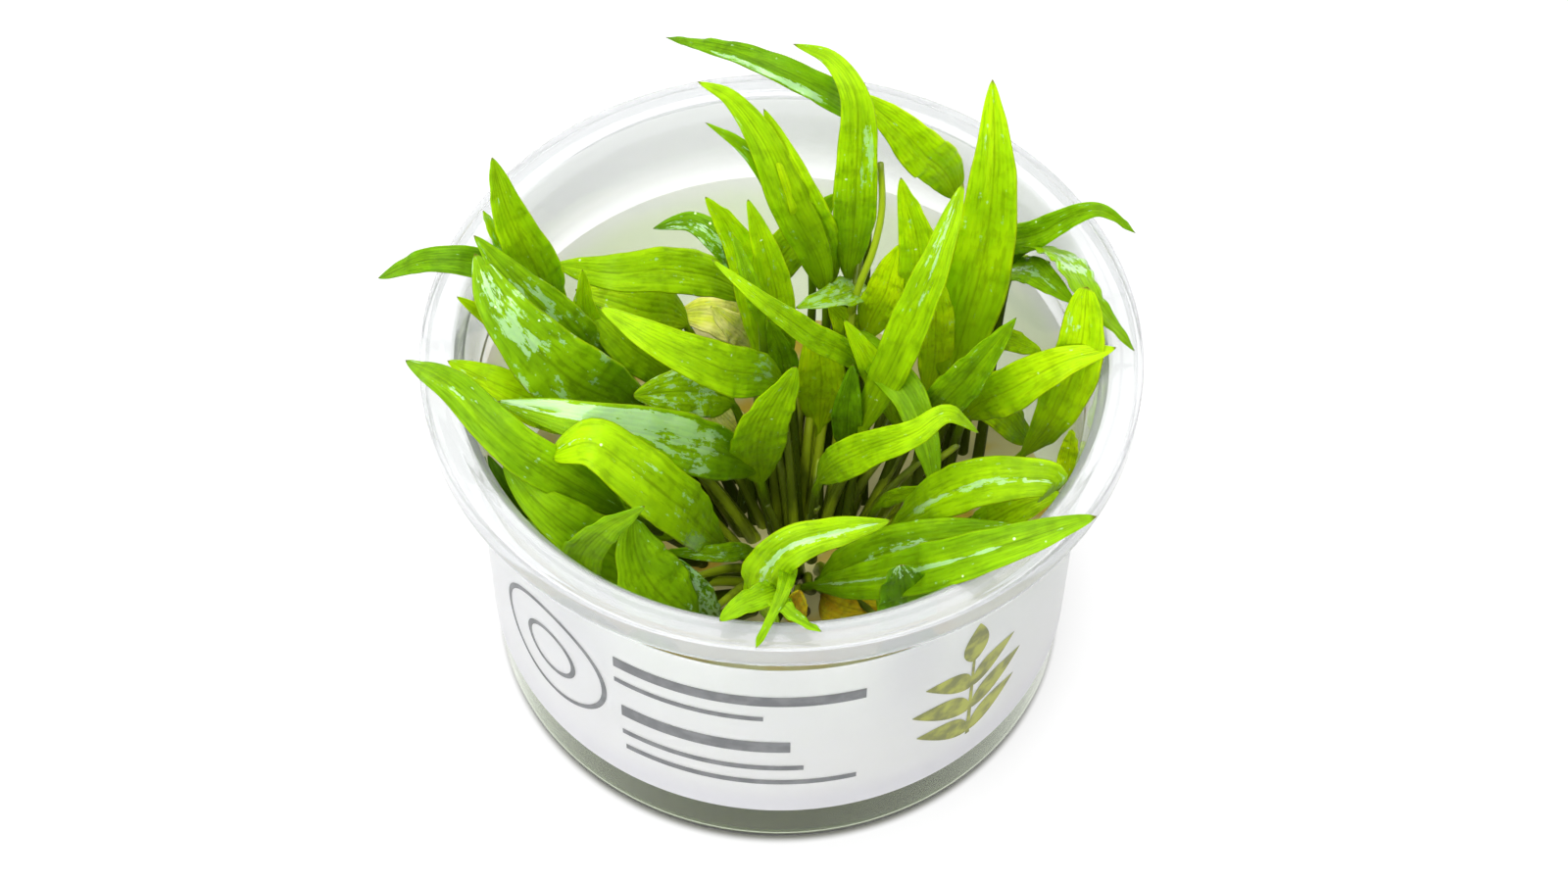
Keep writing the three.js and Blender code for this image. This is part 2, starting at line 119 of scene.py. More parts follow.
# The leaves of the model
LEAVES = numbered("leaf_left", [
    plan((-14, 6), 5, (0, -4, 9), 14, "deep", [
        (-33, 10, 58), (-42.5, 7.5, 75), (-50.5, 7, 77), (-59, 9, 70)]),
    plan((-12, 9), 7.4, (3, -7, 4), 12, "fresh", [
        (-32.5, 14, 50), (-36, 9.5, 72.5), (-39, 7, 88.5), (-40.5, 7, 100)]),
    plan((-14, 12), 3.4, (3, -7, 4), 10, "light", [(-34.5, 19, 50), (-40, 13.5, 69.5), (-43, 11, 83.5)]),
    plan((-10, 6), 8, (2, -5, 8), 14, "mid", [(-25, 9, 44), (-31, 3, 65), (-38, 3, 77), (-44, 6, 84)]),
    plan((-9, 3), 11.5, (2, -6, 7), 12, "mid", [
        (-21, 2, 46), (-31, -6, 67), (-39.5, -3.5, 79), (-44, 5.5, 80.5)]),
    plan((-17, 9), 4.5, (0, -5, 8), 10, "light", [(-33, 11.5, 41.5), (-40, 7.5, 59.5), (-47.5, 7, 68.5)]),
    plan((-13, -2), 6.8, (1, -5, 8), 14, "mid", [
        (-23, -18.5, 51), (-37.5, -21.5, 71.5), (-46, -14.5, 75), (-54, -5.5, 69.5)]),
    plan((-13, 2), 7.6, (0, -5, 8), 10, "light", [(-28, -0.5, 46.5), (-38, -7.5, 64.5), (-48, -5.5, 69.5)]),
    plan((-1, 2), 8.8, (0, -5, 8), 8, "mid", [
        (-4, -1.5, 37.5), (-14, -12, 59), (-26, -16, 69), (-40.5, -13, 70)]),
    plan((-3, -4), 9.5, (0, -4, 9), 10, "fresh", [
        (-8, -10.5, 30), (-14.5, -22, 57.5), (-21.5, -22.5, 68), (-26.5, -21.5, 72), (-32.5, -20.5, 67.5),
    ], widest=0.6),
    plan((-5, -7), 9.5, (0, -4, 9), 14, "mid", [
        (-16.5, -19.5, 35), (-25.5, -26, 52), (-33.5, -26, 62.5), (-39.5, -20, 64.5)]),
    plan((-6, -10), 6.5, (1, -7, 6), 12, "mid", [
        (-26.5, -26.5, 39), (-28.5, -29.5, 54), (-24.5, -32.5, 66.5), (-18.5, -34.5, 75.5)]),
    plan((-4, -10), 11, (2, -4, 8), 16, "mid", [
        (-12, -30, 40), (-18, -31, 50), (-20.5, -29, 56), (-21, -26, 60)], widest=0.5),
    plan((-4, 4), 8, (0, -5, 8), 12, "fresh", [(-7.5, 7.5, 42.5), (-14, 4, 50), (-22, 0.5, 53.5)]),
    plan((-4, -13), 4.5, (1, -4, 8), 10, "deep", [(-9, -26, 34), (-12, -27, 43), (-15, -26, 50)]),
    plan((-7, 8), 7, (0, -5, 8), 12, "fresh", [(-16, 10, 44), (-23.5, 8, 57), (-30.5, 11.5, 63)]),
    plan((-8, -3), 7, (0, -5, 8), 10, "light", [
        (-15.5, -11, 34), (-23.5, -13, 45), (-31, -12.5, 51), (-38, -8, 53)]),
])
LEAVES |= numbered("leaf_back", [
    plan((-3, 10), 7.2, (0, -5, 8), 12, "fresh", [
        (-6, 20.5, 51.5), (-16, 16, 64), (-25, 12.5, 67.5), (-34, 16.5, 64.5)]),
    plan((-7, 12), 9, (0, -5, 8), 10, "light", [(-15, 23.5, 41), (-22, 19.5, 50), (-31.5, 21.5, 52)]),
    plan((-3, 14), 8, (0, -4, 8), 14, "pale", [(-5, 27, 32), (-10.5, 25, 41.5), (-16.5, 25.5, 41)]),
    plan((-1, 8), 5, (-1, -5, 8), 16, "deep", [
        (-6, 18.5, 57.5), (-9, 14, 73.5), (-13.5, 15.5, 76), (-19, 14.5, 75.5)]),
    plan((0, 5), 5.6, (1, -8, 4), 14, "light", [
        (-2.5, 12, 46.5), (-5, 10.5, 71), (-8, 9.5, 83), (-11, 7, 92)]),
    plan((3, 6), 5.2, (2, -8, 4), 16, "light", [(1, 13, 46), (-2, 8, 76), (-5, 5, 94)]),
    plan((4, 10), 6.2, (1, -7, 5), 12, "fresh", [
        (6.5, 20.5, 53), (1, 19, 76), (-3.5, 21, 89), (-8, 23, 95), (-12.5, 24.5, 96.5)]),
    plan((2, 13), 4.2, (1, -7, 5), 12, "mid", [
        (4.5, 28, 47.5), (-0.5, 25, 71.5), (-6, 24, 83), (-11.5, 25.5, 86.5)]),
    plan((-1, 17), 6.5, (-1, -7, 6), 10, "fresh", [(-3, 33, 36), (2, 32, 52), (8, 32, 63)]),
    plan((7, 12), 6.6, (0, -8, 5), 10, "fresh", [
        (10, 24.5, 51.5), (10.5, 20.5, 80.5), (9.5, 21, 99.5), (6, 24.5, 102), (1, 26, 103)]),
    plan((12, 13), 4.8, (0, -6, 8), 12, "deep", [
        (12.5, 33, 70.5), (10, 27, 88), (3.5, 24.5, 96.5), (-5, 27, 99), (-17.5, 36.5, 92.5),
    ], widest=0.35, wave=0.7),
    plan((22, 16), 7.4, (0, -7, 6), 12, "light", [
        (26, 33.5, 60.5), (20, 30, 76), (15, 30, 83), (10.5, 32, 86)]),
    plan((6, 14), 6, (1, -7, 5), 14, "light", [
        (7.5, 25, 50), (3.5, 20, 74), (0.5, 20.5, 84), (-3, 23.5, 92)]),
])
LEAVES |= numbered("leaf_middle", [
    plan((3, 3), 7.6, (1, -5, 8), 12, "fresh", [(0, 5, 50), (-9, -5, 68), (-18, -6, 76), (-26, -2, 78)]),
    plan((10, 3), 4.2, (2, -6, 6), 20, "fresh", [(13, 8, 48), (3, -1, 72), (-4, -4, 84), (-10, -1, 88)]),
    plan((0, -1), 9, (2, -7, 3), 12, "fresh", [(-3, -1, 34), (-3, -6, 54), (2, -9, 74)]),
    plan((6, 5), 8, (0, -8, 4), 12, "bright", [(6, 11, 32), (6, 9, 48), (5, 8, 62)]),
    plan((9, 8), 6, (0, -3, 9), 8, "fresh", [(14, 27, 44), (8, 17, 57), (2, 13, 59)]),
    plan((13, 8), 6.2, (-2, -7, 5), 12, "bright", [(13, 19, 44), (15.5, 16, 60), (17, 14.5, 72.5)]),
    plan((17, 9), 6.6, (-1, -8, 4), 14, "light", [(19, 16.5, 45.5), (20, 13, 72), (16.5, 11, 92)]),
    plan((14, 4), 5, (1, -7, 5), 14, "light", [(18, 8, 36), (13, 4, 58), (9, 4, 68)]),
    plan((10, -1), 6.4, (-4, -7, 3), 20, "fresh", [
        (12, 2, 42), (16.5, 0, 64), (21.5, 0, 86), (25, 5, 98)], widest=0.5),
    plan((12, 10), 5.6, (1, -8, 5), 12, "mid", [
        (10, 11.5, 54), (14.5, 4, 58), (19, -2, 57), (21.5, -7, 53), (23, -12, 47.5)], widest=0.45),
    plan((5, -3), 5.8, (0, -6, 8), 14, "fresh", [
        (6, -9, 46), (12, -18, 66), (19, -21, 75), (23, -20, 78), (28, -19, 72)], widest=0.35),
])
LEAVES |= numbered("leaf_right", [
    plan((21, 10), 9.4, (-1, -8, 4), 12, "light", [
        (25.5, 13, 41.5), (29.5, 16, 68), (30, 16, 88), (29, 19, 104)], widest=0.36, taper=1.15),
    plan((26, 15), 4.6, (0, -5, 8), 14, "mid", [
        (32, 25.5, 56.5), (38, 20, 69), (46, 17.5, 77.5), (51.5, 16, 74)], widest=0.3),
    plan((31, 14), 5.8, (2, -4, 8), 12, "mid", [
        (35.5, 24.5, 58), (41, 15.5, 69), (44.5, 2.5, 75.5), (51, -1.5, 68.5)]),
    plan((29, 18), 5, (0, -4, 9), 12, "mid", [
        (31.5, 26.5, 48), (37, 20, 60), (40.5, 13.5, 64), (43, 9, 66)]),
    plan((28, 8), 7.6, (-2, -7, 4), 12, "light", [
        (36.5, 1.5, 38), (40.5, -2, 53.5), (43, -2.5, 71), (43, -1.5, 83.5)], widest=0.62),
    plan((25, 6), 7.2, (0, -6, 8), 12, "light", [
        (28, 4.5, 44), (34, -3, 61.5), (41, -4, 69.5), (48, -3.5, 72)]),
    plan((21, 3), 6.4, (-1, -7, 5), 18, "mid", [(22, 1, 46), (27, -3, 64), (33, -6, 82)], widest=0.33),
])
LEAVES |= numbered("leaf_front", [
    plan((11, -5), 7.4, (0, -4, 9), 12, "fresh", [
        (16.5, -13.5, 39.5), (22.5, -19, 56), (30.5, -22, 65), (38.5, -23.5, 67), (37, -23, 61),
    ], widest=0.55),
    plan((8, -7), 8, (0, -4, 9), 12, "mid", [(6.5, -19, 34.5), (16.5, -24.5, 50.5), (33.5, -27.5, 61.5)]),
    plan((5, -9), 7.4, (0, -4, 9), 14, "mid", [
        (4.5, -20, 34), (16.5, -33, 56.5), (29, -38.5, 71.5), (43.5, -36, 76.5)], widest=0.58, taper=1.7),
    plan((11, -9), 8.8, (1, -7, 5), 12, "deep", [
        (17, -33.5, 41.5), (18, -36.5, 56), (17, -37, 65.5)], taper=0.75, wave=0.8),
    plan((1, -10), 7, (0, -4, 9), 16, "fresh", [
        (-1, -34, 46), (-2.5, -37, 60), (2, -37, 70), (15.5, -34, 72)], wave=0.6),
    plan((3, -6), 2.6, (0, -4, 9), 12, "mid", [
        (1.5, -33.5, 60.5), (0.5, -44.5, 69), (-3, -53, 68.5)], widest=0.3),
    plan((-2, -13), 4.2, (0, -3, 9), 10, "mid", [
        (0, -38, 60), (-1.5, -43.5, 67.5), (-5.5, -47, 69.5), (-8, -49, 69)], widest=0.5),
    plan((4, -13), 4, (0, -5, 8), 10, "amber", [(2, -30, 40), (3, -32, 51)]),
    plan((8, -11), 7, (0, -4, 9), 8, "amber", [(7, -14, 22), (11, -22, 31), (18, -26, 36)]),
])

# Small young and shaded leaves between the others
SMALL_LEAVES = numbered("young_leaf", [
    plan((-2, 7), 3, (0, -8, 4), 12, "mid", [(-3, 6, 64), (-4.5, 4, 76), (-7, 6.5, 84)]),
    plan((-12, -4), 5, (1, -5, 7), 8, "dark", [
        (-28.5, -14, 34), (-38.5, -13.5, 44), (-41, -12.5, 50), (-43, -9.5, 52)]),
    plan((25, 19), 3.5, (0, -6, 7), 12, "bright", [(32, 29, 46), (40, 20, 62)]),
    plan((1, 8), 5, (0, -7, 5), 10, "mid", [(1, 14, 32), (0, 12, 48), (-2, 10, 60)]),
    plan((26, 12), 3.5, (0, -6, 7), 10, "light", [(32, 21, 40), (39, 11, 52)]),
    plan((13, -2), 2.5, (0, -6, 7), 10, "fresh", [(15, -4, 32), (22, -10, 46)]),
    plan((-10, 9), 5, (2, -7, 4), 12, "light", [(-24, 15, 40), (-29, 9, 60), (-29, 8, 74)]),
    plan((-2, -7), 3, (0, -5, 8), 10, "mid", [(-4, -10, 28), (-9, -17, 38), (-17, -21, 44)]),
    plan((-2, 15), 5, (0, -5, 8), 10, "pale", [(-5, 23.5, 36), (-8, 21.5, 44), (-11, 22.5, 47)]),
    plan((15, 8), 6, (-1, -8, 4), 10, "bright", [(22.5, 13.5, 38), (23, 13, 56), (21, 11, 74)]),
    plan((14, -8), 6, (0, -4, 9), 8, "light", [(27.5, -17.5, 44), (35, -19.5, 55), (40.5, -18.5, 57)]),
    plan((30, 4), 3, (-2, -7, 4), 8, "bright", [(41.5, -8, 44), (42.5, -7, 50), (42.5, -8, 58)]),
    plan((20, 6), 6, (0, -4, 9), 8, "light", [(28, 9.5, 42), (32, 5, 46), (38.5, 6.5, 34)]),
    plan((1, -13), 3.2, (0, -3, 9), 8, "mid", [
        (1, -40, 60), (0, -45.5, 68.5), (3.5, -49, 69), (6, -50.5, 69)]),
    plan((-16, -14), 3.2, (1, -3, 8), 14, "fresh", [
        (-31.5, -24, 45), (-34, -24, 51), (-36, -24, 55), (-37, -23.5, 56)]),
    plan((8, 7), 5, (0, -5, 7), 10, "bright", [(11, 20, 40), (9.5, 19, 48), (7, 19.5, 52)]),
    plan((9, 0), 5, (-1, -7, 4), 12, "deep", [(10, 4.5, 34), (10, 1.5, 50), (10.5, 2, 60)]),
    plan((-6, 6), 5, (0, -5, 8), 8, "pale", [(-5.5, 10.5, 28), (-9, 11.5, 34), (-13, 13, 37)]),
])

# Where a film of water lies on a leaf: from and to along the blade, from and to across it, and how much
WET_PLACES = {
    "leaf_left_3": [(0.3, 1.1, -1.2, 1.2, 0.4)],
    "leaf_left_4": [(0.3, 1.0, -1.2, 1.2, 0.2), (0.55, 0.8, -0.5, 0.5, 0.6)],
    "leaf_left_5": [(0.35, 1.0, -1.2, 1.2, 0.25), (0.6, 0.95, -0.5, 0.4, 0.5)],
    "leaf_left_9": [(0.4, 1.0, -0.1, 0.85, 0.85), (0.3, 0.7, -0.9, 0.9, 0.5)],
    "leaf_left_10": [(0.25, 0.45, -1.2, -0.3, 0.75), (0.3, 0.8, -0.8, 0.8, 0.15)],
    "leaf_left_12": [(0.0, 0.3, -1.2, 1.2, 0.4)],
    "leaf_left_14": [(0.2, 0.9, -1.2, 1.2, 0.4)],
    "leaf_left_15": [(0.0, 1.1, -1.2, 1.2, 0.5)],
    "leaf_back_4": [(0.2, 1.1, -1.2, 0.2, 0.45)],
    "leaf_back_8": [(0.2, 0.9, -1.2, 1.2, 0.25)],
    "leaf_back_10": [(0.45, 0.72, 0.3, 0.8, 0.6)],
    "leaf_back_11": [(0.45, 0.8, -0.85, -0.45, 0.75)],
    "leaf_middle_1": [(0.12, 0.3, -0.4, 0.9, 0.45)],
    "leaf_middle_5": [(0.1, 1.0, -1.2, 1.2, 0.55)],
    "leaf_middle_9": [(0.6, 0.95, -0.6, 0.1, 0.4)],
    "leaf_right_3": [(0.35, 0.6, -1.2, 1.2, 0.5)],
    "leaf_right_4": [(0.1, 0.8, -0.2, 0.3, 0.6)],
    "leaf_right_5": [(0.45, 0.9, -0.9, -0.2, 0.3)],
    "leaf_front_1": [(0.25, 0.85, -0.1, 0.25, 0.65)],
    "leaf_front_2": [(0.3, 0.8, -0.2, 0.3, 0.5)],
    "leaf_front_3": [(0.1, 0.8, -0.1, 0.1, 0.9)],
    "leaf_front_4": [(0.88, 1.1, -1.2, 1.2, 0.35)],
    "leaf_front_5": [(0.15, 0.95, -0.15, 0.15, 1.0)],
    "young_leaf_8": [(0.2, 0.9, -1.2, 1.2, 0.28)],
    "young_leaf_15": [(0.3, 1.1, -1.2, 1.2, 0.5)],
}

# Roots in the gel
ROOT_SEED = 7
ROOT_COUNT = 46
ROOT_RADIUS = 0.35
ROOT_SIDE_LIMIT = 38
ROOT_REACH_LIMIT = 41

# The middle of the crown, where the stalks stand closest
CROWN = Vector((3, -3, 16.3))
CROWN_SEED = 11
CROWN_STALK_RADII = (0.95, 0.5)

# One bare stalk that stands at the back
BENT_STALK = [
    (8, 11, 14), (8.5, 20, 34), (11.5, 19.5, 56), (13.5, 20.5, 64), (14.5, 21.5, 72), (14, 22.5, 82),
]
BENT_STALK_RADII = (0.7, 0.5)

# The leaves' colours in light and in dark patches. Each leaf's finish was matched to how bright it shows, so
# the finishes are partly the leaves' own tones and partly painted light and shade: some leaves in shade have
# lighter finishes, and some in strong light darker ones.
LEAF_TONES = {
    "bright": ((0.58, 0.84, 0.002, 1), (0.44, 0.70, 0.002, 1)),
    "light": ((0.44, 0.70, 0.002, 1), (0.33, 0.58, 0.002, 1)),
    "fresh": ((0.33, 0.58, 0.002, 1), (0.24, 0.44, 0.002, 1)),
    "mid": ((0.23, 0.44, 0.002, 1), (0.155, 0.32, 0.002, 1)),
    "deep": ((0.145, 0.32, 0.002, 1), (0.085, 0.20, 0.002, 1)),
    "dark": ((0.08, 0.19, 0.002, 1), (0.04, 0.11, 0.002, 1)),
    "pale": ((1.0, 1.0, 0.30, 1), (0.84, 0.94, 0.08, 1)),
    "amber": ((0.95, 0.78, 0.03, 1), (0.82, 0.50, 0.02, 1)),
}

OLIVE_STALK = (0.075, 0.11, 0.006, 1)
BROWN_STALK = (0.10, 0.06, 0.01, 1)
TIP_BROWN = (0.09, 0.06, 0.015, 1)
# Painted reflection: the pale mint sheen of a film of water on a leaf
PAINTED_FILM_SHEEN = (0.52, 0.82, 0.45, 1)
# Painted glint: the pale spot of light on a drop of water
PAINTED_DROP_GLINT = (0.75, 0.90, 0.55, 1)

# Camera and light
FOCAL_PIXELS = 3620
IMAGE_WIDTH = 1600
SENSOR_WIDTH = 36
CAMERA_TARGET = Vector((0.51, 9.49, 30))
CAMERA_DISTANCE = 550
CAMERA_ELEVATION = math.radians(54.26)
CAMERA_ROLL = math.radians(0.72)
LIGHT_TARGET = Vector((0, 0, 50))
FLOOR_GLOW = 0.68

# In metres
FLOOR_REACH = 6
FLOOR_HEIGHT = -0.00002


# Meshes

def link_object(name, mesh):
    piece = bpy.data.objects.new(name, mesh)
    bpy.context.scene.collection.objects.link(piece)
    return piece


def add_piece(name, vertices, faces, material, uvs=None, sharp_angle=None):
    """A piece of the object from points in millimetres, riding on the one body."""
    mesh = bpy.data.meshes.new(name)
    mesh.from_pydata((np.asarray(vertices, dtype=float) * METRES).tolist(), [], faces)
    if uvs is not None:
        corners = np.empty(len(mesh.loops), dtype=np.int32)
        mesh.loops.foreach_get("vertex_index", corners)
        layer = mesh.uv_layers.new(name="UVMap")
        layer.data.foreach_set("uv", np.asarray(uvs, dtype=np.float32)[corners].ravel())
    tidy_normals(mesh, sharp_angle)
    mesh.materials.append(material)
    piece = link_object(name, mesh)
    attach(piece, "root")
    return piece


def tidy_normals(mesh, sharp_angle):
    """Faces look outwards and are smooth, apart from edges sharper than the angle."""
    shape = bmesh.new()
    shape.from_mesh(mesh)
    bmesh.ops.recalc_face_normals(shape, faces=shape.faces)
    for face in shape.faces:
        face.smooth = True
    for edge in shape.edges:
        if sharp_angle and edge.calc_face_angle(0) > math.radians(sharp_angle):
            edge.smooth = False
    shape.to_mesh(mesh)
    shape.free()


def lathe(outline, segments=TURN_SEGMENTS):
    """The points and faces of a closed outline of (radius, height) turned about Z.
    A place on the axis becomes one point."""
    angles = np.linspace(0, 2 * np.pi, segments, endpoint=False)
    vertices = []
    rings = []
    for radius, height in outline:
        first = len(vertices)
        if radius == 0:
            vertices.append((0, 0, height))
            rings.append([first] * segments)
        else:
            vertices.extend((radius * math.cos(a), radius * math.sin(a), height) for a in angles)
            rings.append(list(range(first, first + segments)))
    faces = []
    pairs = list(zip(rings, rings[1:]))
    if outline[0][0] != 0:
        pairs.append((rings[-1], rings[0]))
    for low, high in pairs:
        for i in range(segments):
            j = (i + 1) % segments
            corners = list(dict.fromkeys((low[i], low[j], high[j], high[i])))
            if len(corners) > 2:
                faces.append(corners)
    return vertices, faces


def rounded(outline, size):
    """The outline with each inner corner replaced by a small curve."""
    points = [Vector(point) for point in outline]
    result = [points[0]]
    for before, corner, after in zip(points, points[1:], points[2:]):
        back = before - corner
        ahead = after - corner
        reach = min(size, back.length * 0.45, ahead.length * 0.45)
        start = corner + back.normalized() * reach
        end = corner + ahead.normalized() * reach
        for t in np.linspace(0, 1, CORNER_STEPS + 1).tolist():
            result.append(start * (1 - t) ** 2 + corner * 2 * t * (1 - t) + end * t ** 2)
    result.append(points[-1])
    return [(point.x, point.y) for point in result]


def ring_faces(rings, size):
    """Four-sided faces between neighbouring rings of points, each with size points."""
    faces = []
    for i in range(rings - 1):
        for j in range(size):
            k = (j + 1) % size
            faces.append([i * size + j, i * size + k, (i + 1) * size + k, (i + 1) * size + j])
    return faces


def smooth_step(value, low, high):
    share = np.clip((value - low) / (high - low), 0, 1)
    return share * share * (3 - 2 * share)


def between(value, low, high, softness):
    """1 between low and high and 0 outside them, with soft ends."""
    past_low = smooth_step(value, low - softness, low + softness)
    past_high = smooth_step(value, high - softness, high + softness)
    return past_low * (1 - past_high)


# Material nodes

def new_material(name):
    """A new material, its Principled surface and each point's place on the object."""
    material = bpy.data.materials.new(name)
    material.use_nodes = True
    tree = material.node_tree
    place = add_node(tree, "ShaderNodeTexCoord").outputs["Object"]
    return material, tree.nodes["Principled BSDF"], place


def add_node(tree, kind, **settings):
    node = tree.nodes.new(kind)
    for key, value in settings.items():
        setattr(node, key, value)
    return node


def put(socket, value):
    """Link an output into the socket, or set the socket to a plain value."""
    if isinstance(value, bpy.types.NodeSocket):
        socket.id_data.links.new(value, socket)
    else:
        socket.default_value = value


def dress(node, values):
    """Give the node's inputs their values, by name."""
    for name, value in values.items():
        put(node.inputs[name], value)


def calculate(operation, first, second=0.0):
    """A calculation in the tree of its first value."""
    node = add_node(first.id_data, "ShaderNodeMath", operation=operation)
    put(node.inputs[0], first)
    put(node.inputs[1], second)
    return node.outputs[0]


def product(first, second):
    return calculate("MULTIPLY", first, second)


def total(first, second):
    return calculate("ADD", first, second)


def ranged(value, low, high, to_low=0.0, to_high=1.0):
    """The value's place between low and high, eased, as a number between to_low and to_high."""
    node = add_node(value.id_data, "ShaderNodeMapRange", interpolation_type="SMOOTHSTEP")
    for socket, number in zip(node.inputs, (value, low, high, to_low, to_high)):
        put(socket, number)
    return node.outputs["Result"]


def mixed(share, first, second):
    """A colour between the first, at share 0, and the second, at share 1."""
    node = add_node(share.id_data, "ShaderNodeMix", data_type="RGBA")
    put(node.inputs["Factor"], share)
    put(node.inputs[6], first)
    put(node.inputs[7], second)
    return node.outputs[2]


def split_up(vector):
    """The X, Y and Z of a vector."""
    node = add_node(vector.id_data, "ShaderNodeSeparateXYZ")
    put(node.inputs[0], vector)
    return node.outputs[0], node.outputs[1], node.outputs[2]


def noise_of(place, scale, detail, stretch=None, roughness=0.5):
    if stretch:
        mapping = add_node(place.id_data, "ShaderNodeMapping")
        dress(mapping, {"Vector": place, "Scale": stretch})
        place = mapping.outputs["Vector"]
    node = add_node(place.id_data, "ShaderNodeTexNoise")
    dress(node, {"Vector": place, "Scale": scale, "Detail": detail, "Roughness": roughness})
    return node.outputs["Fac"]


def round_drops(place, scale, inner, outer):
    """Small round spots, from 1 in the middle to 0 outside them."""
    cells = add_node(place.id_data, "ShaderNodeTexVoronoi")
    dress(cells, {"Vector": place, "Scale": scale})
    return ranged(cells.outputs["Distance"], inner, outer, 1.0, 0.0)


def bump(surface, height, distance, strength):
    node = add_node(height.id_data, "ShaderNodeBump")
    dress(node, {"Strength": strength, "Distance": distance, "Height": height})
    put(surface.inputs["Normal"], node.outputs["Normal"])


# Leaf materials

def leaf_places(tree):
    """How far to one side of the midrib, how far from it, and how far along the blade."""
    sideways, along, _ = split_up(add_node(tree, "ShaderNodeTexCoord").outputs["UV"])
    return sideways, calculate("ABSOLUTE", sideways), along


def own_values(tree):
    """How wet the leaf is at each point, and the leaf's own number."""
    attribute = add_node(tree, "ShaderNodeAttribute", attribute_name=WETNESS)
    wetness, number, _ = split_up(attribute.outputs["Vector"])
    return wetness, number


def blade_place(sideways, along, number, length):
    """A place for noise that follows the blade, with other noise on every leaf."""
    place = add_node(sideways.id_data, "ShaderNodeCombineXYZ")
    dress(place, {"X": sideways, "Y": product(along, length), "Z": number})
    return place.outputs[0]


def wet_film(place, sideways, along, wetness, number):
    """Where a leaf is wet, from 0 to 1: a ragged film, and small drops where it is only nearly wet."""
    rough = noise_of(blade_place(sideways, along, number, 2.8), 3.2, 8, roughness=0.68)
    field = total(rough, product(wetness, 0.3))
    film = ranged(field, 0.66, 0.675)
    nearly_wet = ranged(field, 0.58, 0.64)
    drops = round_drops(place, 700, 0.2, 0.3)
    return calculate("MAXIMUM", film, product(nearly_wet, drops))


def painted_drop_glints(place):
    """Where a painted glint of a water drop goes on a leaf, from 0 to 1."""
    drops = round_drops(place, 380, 0.05, 0.10)
    return product(drops, ranged(noise_of(place, 110, 2), 0.56, 0.6))


def vein_lines(place, sideways):
    """Slightly wavy lines along the blade, from -1 to 1."""
    bend = product(noise_of(place, 70, 2), 3)
    return calculate("SINE", total(product(sideways, 30), bend))


def streaked(light, dark, shade, place, streak_place):
    """Long light and dark streaks with a fine mottle."""
    broad = total(noise_of(place, 55, 4), noise_of(streak_place, 2.0, 4))
    colour = mixed(ranged(broad, 0.85, 1.15), dark, light)
    streaks = ranged(noise_of(streak_place, 6.5, 6, roughness=0.6), 0.5, 0.62, 0.0, 0.38)
    colour = mixed(streaks, colour, shade)
    mottle = ranged(noise_of(place, 420, 3), 0.45, 0.75, 0.0, 0.34)
    return mixed(mottle, colour, shade)


def marked(colour, light, shade, stalk, place, across, along, lines):
    """The colour with fine veins, a midrib, a light edge, painted shade at the blade's foot, the stalk's
    colour and a brown tip.
    """
    strength = ranged(noise_of(place, 60, 2), 0.35, 0.65, 0.04, 0.2)
    veins = product(ranged(lines, 0.0, 1.0), strength)
    for share, tone in (
        (veins, shade),
        (ranged(across, 0.015, 0.06, 0.3, 0.0), shade),
        (ranged(across, 0.9, 1.0, 0.0, 0.35), light),
        # Darker towards the blade's foot, down in the crown: painted shade
        (ranged(along, -0.02, 0.35, 0.55, 0.0), shade),
        (ranged(along, -0.3, 0.03, 1.0, 0.0), stalk),
        (ranged(along, 0.982, 0.998), TIP_BROWN),
    ):
        colour = mixed(share, colour, tone)
    return colour


def leaf_relief(surface, place, lines):
    """Grooves along the veins, a fine grain and soft swells."""
    grain = product(noise_of(place, 900, 3), 0.3)
    relief = total(product(lines, -0.05), grain)
    swell = product(noise_of(place, 160, 2), 1.1)
    bump(surface, total(relief, swell), 0.0006, 0.5)


def leaf_material(name, light, dark, stalk):
    """A living leaf, soft inside, with a film of water on it where it is wet. The film is glossy, and its
    pale mint in the colour is a painted reflection.
    """
    material, surface, place = new_material(name)
    sideways, across, along = leaf_places(surface.id_data)
    wetness, number = own_values(surface.id_data)
    film = wet_film(place, sideways, along, wetness, number)
    lines = vein_lines(place, sideways)
    shade = tuple(channel * 0.4 for channel in dark[:3]) + (1,)
    colour = streaked(light, dark, shade, place, blade_place(sideways, along, number, 1.6))
    colour = marked(colour, light, shade, stalk, place, across, along, lines)
    # The wet film's pale mint is a painted reflection
    colour = mixed(product(film, 0.45), colour, PAINTED_FILM_SHEEN)
    # Pale specks: painted glints of water drops
    colour = mixed(product(painted_drop_glints(place), 0.8), colour, PAINTED_DROP_GLINT)
    leaf_relief(surface, place, lines)
    dress(surface, {
        "Base Color": colour,
        "Roughness": ranged(film, 0.0, 1.0, 0.4, 0.15),
        "Coat Weight": product(film, 0.75),
        "Coat Roughness": 0.03,
        "Coat IOR": 1.6,
        "Specular IOR Level": 0.06,
        "Subsurface Weight": 0.3,
        "Subsurface Radius": (0.6, 1.0, 0.02),
        "Subsurface Scale": 0.0012,
    })
    return material


# Other materials

